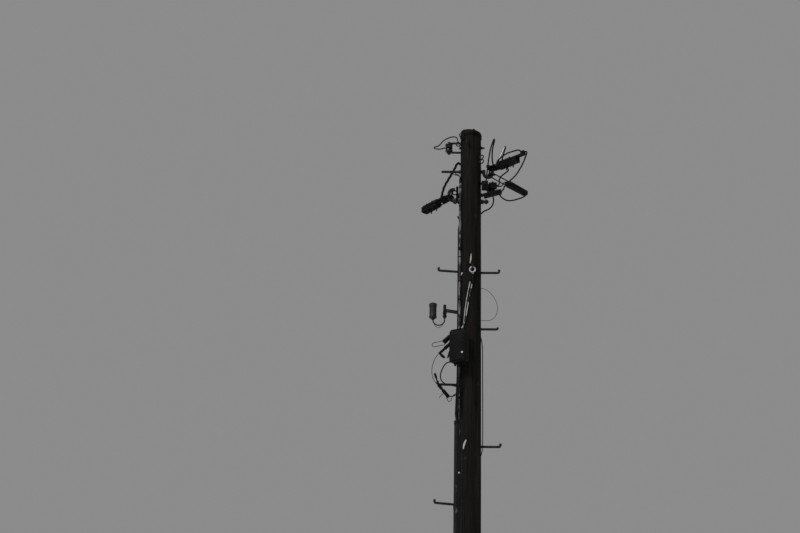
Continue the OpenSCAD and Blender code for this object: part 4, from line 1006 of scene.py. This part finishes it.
def head_detail():
    """Binding wire round the top with its tail and knobs, and a painted highlight: a white strip along the
    short jumper.
    """
    g = Gather()
    for drop, lean in BINDING:
        way = []
        for k in range(73):
            a = radians(5 * k)
            r = bark(drop) + 1.6
            z = TOP / MM - drop + lean * sin(a + drop) + 4 * k / 72
            way.append((r * cos(a), r * sin(a), z))
        g.tube(PART, way, 5, 8)
    tail = [(-52, -53, 24), (-55, -57, 34), (-52, -60, 46), (-46, -62, 60), (-47, -60, 74)]
    g.tube(PART, [(x, y, TOP / MM - drop) for x, y, drop in tail], [8, 10, 10, 8, 5], 8)
    g.block(at_side(-136, 3) @ shift(64, 0, 0), (14, 15, 19), 3)
    g.block(at_side(-72, 2) @ shift(63, 0, 0), (10, 14, 12), 2)
    g.done("top_binding", "black_sheath")
    # White strip on the jumper's near side: a painted highlight
    highlight_strip = Gather()
    highlight_strip.tube(PART, [p / MM for p in through(from_top(HIGHLIGHT_STRIP), 5)], 6, 8)
    highlight_strip.done("jumper_highlight", "grey_sheath", "painted_highlight_sheath")


def ray_at(px, py):
    """Direction in which the camera sees a place in the picture."""
    turn = scene.camera.matrix_world.to_3x3()
    return (turn @ Vector((px - PICTURE_W / 2, PICTURE_H / 2 - py, -FOCAL))).normalized()


def at_depth(px, py, y):
    """Point, in millimetres, that the camera sees at a place in the picture and at a depth."""
    ray = ray_at(px, py)
    return (Vector(EYE) + ray * ((y * MM - EYE[1]) / ray.y)) / MM


def on_bark(px, py):
    """Point of the bark, in millimetres, that the camera sees at a place in the picture."""
    ray = ray_at(px, py)
    eye, r = Vector(EYE), TOP_R
    for _ in range(5):
        a, b = ray.x ** 2 + ray.y ** 2, eye.x * ray.x + eye.y * ray.y
        hit = eye + ray * (-b - sqrt(b * b - a * (eye.x ** 2 + eye.y ** 2 - r * r))) / a
        r = pole_r(hit.z)
    return hit / MM


# Stubs left of the box and the strap at the left hook: paths by places in the picture, depth, and widths
STUBS = [
    ([(439.8, 353.8), (441.4, 355.1), (443.2, 356.6), (444.8, 357.9)], -92, [10, 19, 19, 12]),
    ([(450.8, 349.6), (449.2, 353.5), (447.6, 358.2)], -96, [17, 14, 9]),
    ([(457.2, 187.0), (457.3, 193.0), (457.4, 199.5)], -11, [18, 14, 14]),
]
# The strap's eye: place in the picture and depth, and its radii
STRAP_EYE, STRAP_EYE_R = (454.7, 192.8, -21), (15, 4.6)
# Pale marks on the bark that are painted highlights: path on the bark by places in the picture, and width
# in millimetres
GLINT_MARKS = {
    "glint_above_ring": ([(471.2, 253.8), (471, 257), (470.6, 260), (470.2, 263.4)], 9),
    "glint_left_of_ring": ([(460.2, 276.4), (461.2, 274.4), (462.5, 272.4)], 16),
    "glint_below_ring": ([(472.3, 275.8), (472.4, 276.8), (472.5, 277.8)], 8),
    "glint_on_front": ([(466.2, 439.8), (464.8, 442.6), (463.8, 445.6), (463.2, 449.2)], 14),
}
GLINT_RISE = 2.2
# Knots: bearing, drop and radius, how much taller than wide, and the shares of their rings
KNOTS = [(300, 640, 17), (262, 1130, 13), (322, 1820, 19), (248, 2330, 14), (282, 2950, 20),
         (340, 3480, 15), (265, 4210, 18), (310, 5020, 22), (255, 5760, 16), (290, 6600, 21),
         (20, 820, 15), (60, 1650, 19), (110, 2700, 17), (35, 3900, 21), (150, 4600, 16),
         (85, 5600, 20), (170, 6350, 18), (120, 860, 14)]
KNOT_TALL = 1.35
KNOT_RINGS = (1.0, 0.82, 0.6, 0.36, 0.16)


def stub_detail():
    """Stubs and strap, the strap's eye beside the left hook, and the plate behind the connectors."""
    g = Gather()
    for route, depth, widths in STUBS:
        g.tube(PART, [at_depth(*p, depth) for p in route], widths, 12)
    g.torus(shift(*at_depth(*STRAP_EYE)) @ turn_x(90), *STRAP_EYE_R)
    g.block(shift(141.5, 8, TOP / MM - 412), (47, 10, 66), 2)
    g.done("side_stubs", "black_plastic")


# Painted highlights: pale marks raised just off the bark
def paint_glint_marks():
    for name, (route, w) in GLINT_MARKS.items():
        g = Gather()
        line = through([on_bark(*p) for p in route])
        rings = []
        for i, p in enumerate(line):
            width = w * (0.25 + 0.75 * sin(pi * (0.08 + 0.84 * i / (len(line) - 1))))
            out = Vector((p.x, p.y, 0)).normalized()
            side = tangent(line, i).cross(out).normalized()
            rings.append(g.ring(PART, [p + width / 2 * cos(a) * side + GLINT_RISE * sin(a) * out
                                       for a in circle(12)]))
        g.skin(rings)
        g.done(name, "creosoted_wood", "painted_highlight_wood")


def knots():
    g = Gather()
    for bearing, drop, r in KNOTS:
        middle, turn = TOP / MM - drop, radians(bearing)
        rings = []
        for share in KNOT_RINGS:
            ring = []
            for a in circle(24):
                rough = 1 + 0.1 * sin(3 * a + bearing)
                z = middle + KNOT_TALL * r * share * rough * sin(a)
                turned = turn + r * share * rough * cos(a) / bark(drop)
                lift = -2.2 + 4.6 * cos(pi / 2 * share) - (1.6 if share < 0.4 else 0)
                reach = bark(TOP / MM - z) + lift
                ring.append((reach * cos(turned), reach * sin(turned), z))
            rings.append(g.ring(PART, ring))
        deep = bark(drop) - 8
        heart = (deep * cos(turn), deep * sin(turn), middle)
        g.skin([g.ring(PART, [heart])] + rings)
    g.done("knots", "creosoted_wood", "knot")


for name, (d, route) in LOOSE.items():
    line = through(from_top(route))
    piece = wire(name, line, d * MM, "black_sheath")
    tuple(line[0])
    round(run(line), 3)
threads()
clamp_ribs()
bail_sleeves()
cable_cores()
box_detail()
guard_detail()
cable_straps()
arm_detail()
head_detail()
stub_detail()
paint_glint_marks()
knots()

for name, obj in frame["nodes"].items():
    if not obj.hide_render:
        dress(name, obj)


# Stage: pale floor just under the foot, plain sky and soft light

FLOOR_HALF, FLOOR_TONE, FLOOR_GAP = 60, 0.62, 0.0005
SKY = (0.26, 0.26, 0.263)
SKY_LIGHT = 0.55
SUN_POWER, SUN_SPREAD, SUN_TILT, SUN_TURN = 1.5, 14, 52, -38


def make_floor():
    h = FLOOR_HALF
    data = bpy.data.meshes.new("floor")
    data.from_pydata([(-h, -h, 0), (h, -h, 0), (h, h, 0), (-h, h, 0)], [], [(0, 1, 2, 3)])
    floor = bpy.data.objects.new("floor", data)
    m, _, shader, _ = nodes_of("floor")
    shader.inputs["Base Color"].default_value = (*grey(FLOOR_TONE), 1)
    shader.inputs["Roughness"].default_value = 0.9
    data.materials.append(m)
    link(floor)
    floor.location.z = -FLOOR_GAP


def make_sky():
    """Plain sky for the camera and for reflections, and a white light for everything else."""
    world = bpy.data.worlds.new("world")
    scene.world = world
    world.use_nodes = True
    tree = world.node_tree
    tree.nodes.clear()
    out = tree.nodes.new("ShaderNodeOutputWorld")
    path = tree.nodes.new("ShaderNodeLightPath")
    seen = tree.nodes.new("ShaderNodeBackground")
    seen.inputs["Color"].default_value = (*SKY, 1)
    lit = tree.nodes.new("ShaderNodeBackground")
    lit.inputs["Color"].default_value = (1, 1, 1, 1)
    lit.inputs["Strength"].default_value = SKY_LIGHT
    either = tree.nodes.new("ShaderNodeMath")
    either.operation = "MAXIMUM"
    tree.links.new(path.outputs["Is Camera Ray"], either.inputs[0])
    tree.links.new(path.outputs["Is Glossy Ray"], either.inputs[1])
    both = tree.nodes.new("ShaderNodeMixShader")
    tree.links.new(either.outputs[0], both.inputs["Fac"])
    tree.links.new(lit.outputs[0], both.inputs[1])
    tree.links.new(seen.outputs[0], both.inputs[2])
    tree.links.new(both.outputs[0], out.inputs["Surface"])


def make_sun():
    sun = bpy.data.lights.new("sun", "SUN")
    sun.energy = SUN_POWER
    sun.angle = radians(SUN_SPREAD)
    lamp = bpy.data.objects.new("sun", sun)
    lamp.rotation_euler = (radians(SUN_TILT), 0, radians(SUN_TURN))
    link(lamp)


make_floor()
make_sky()
make_sun()
scene.view_settings.view_transform = "Standard"
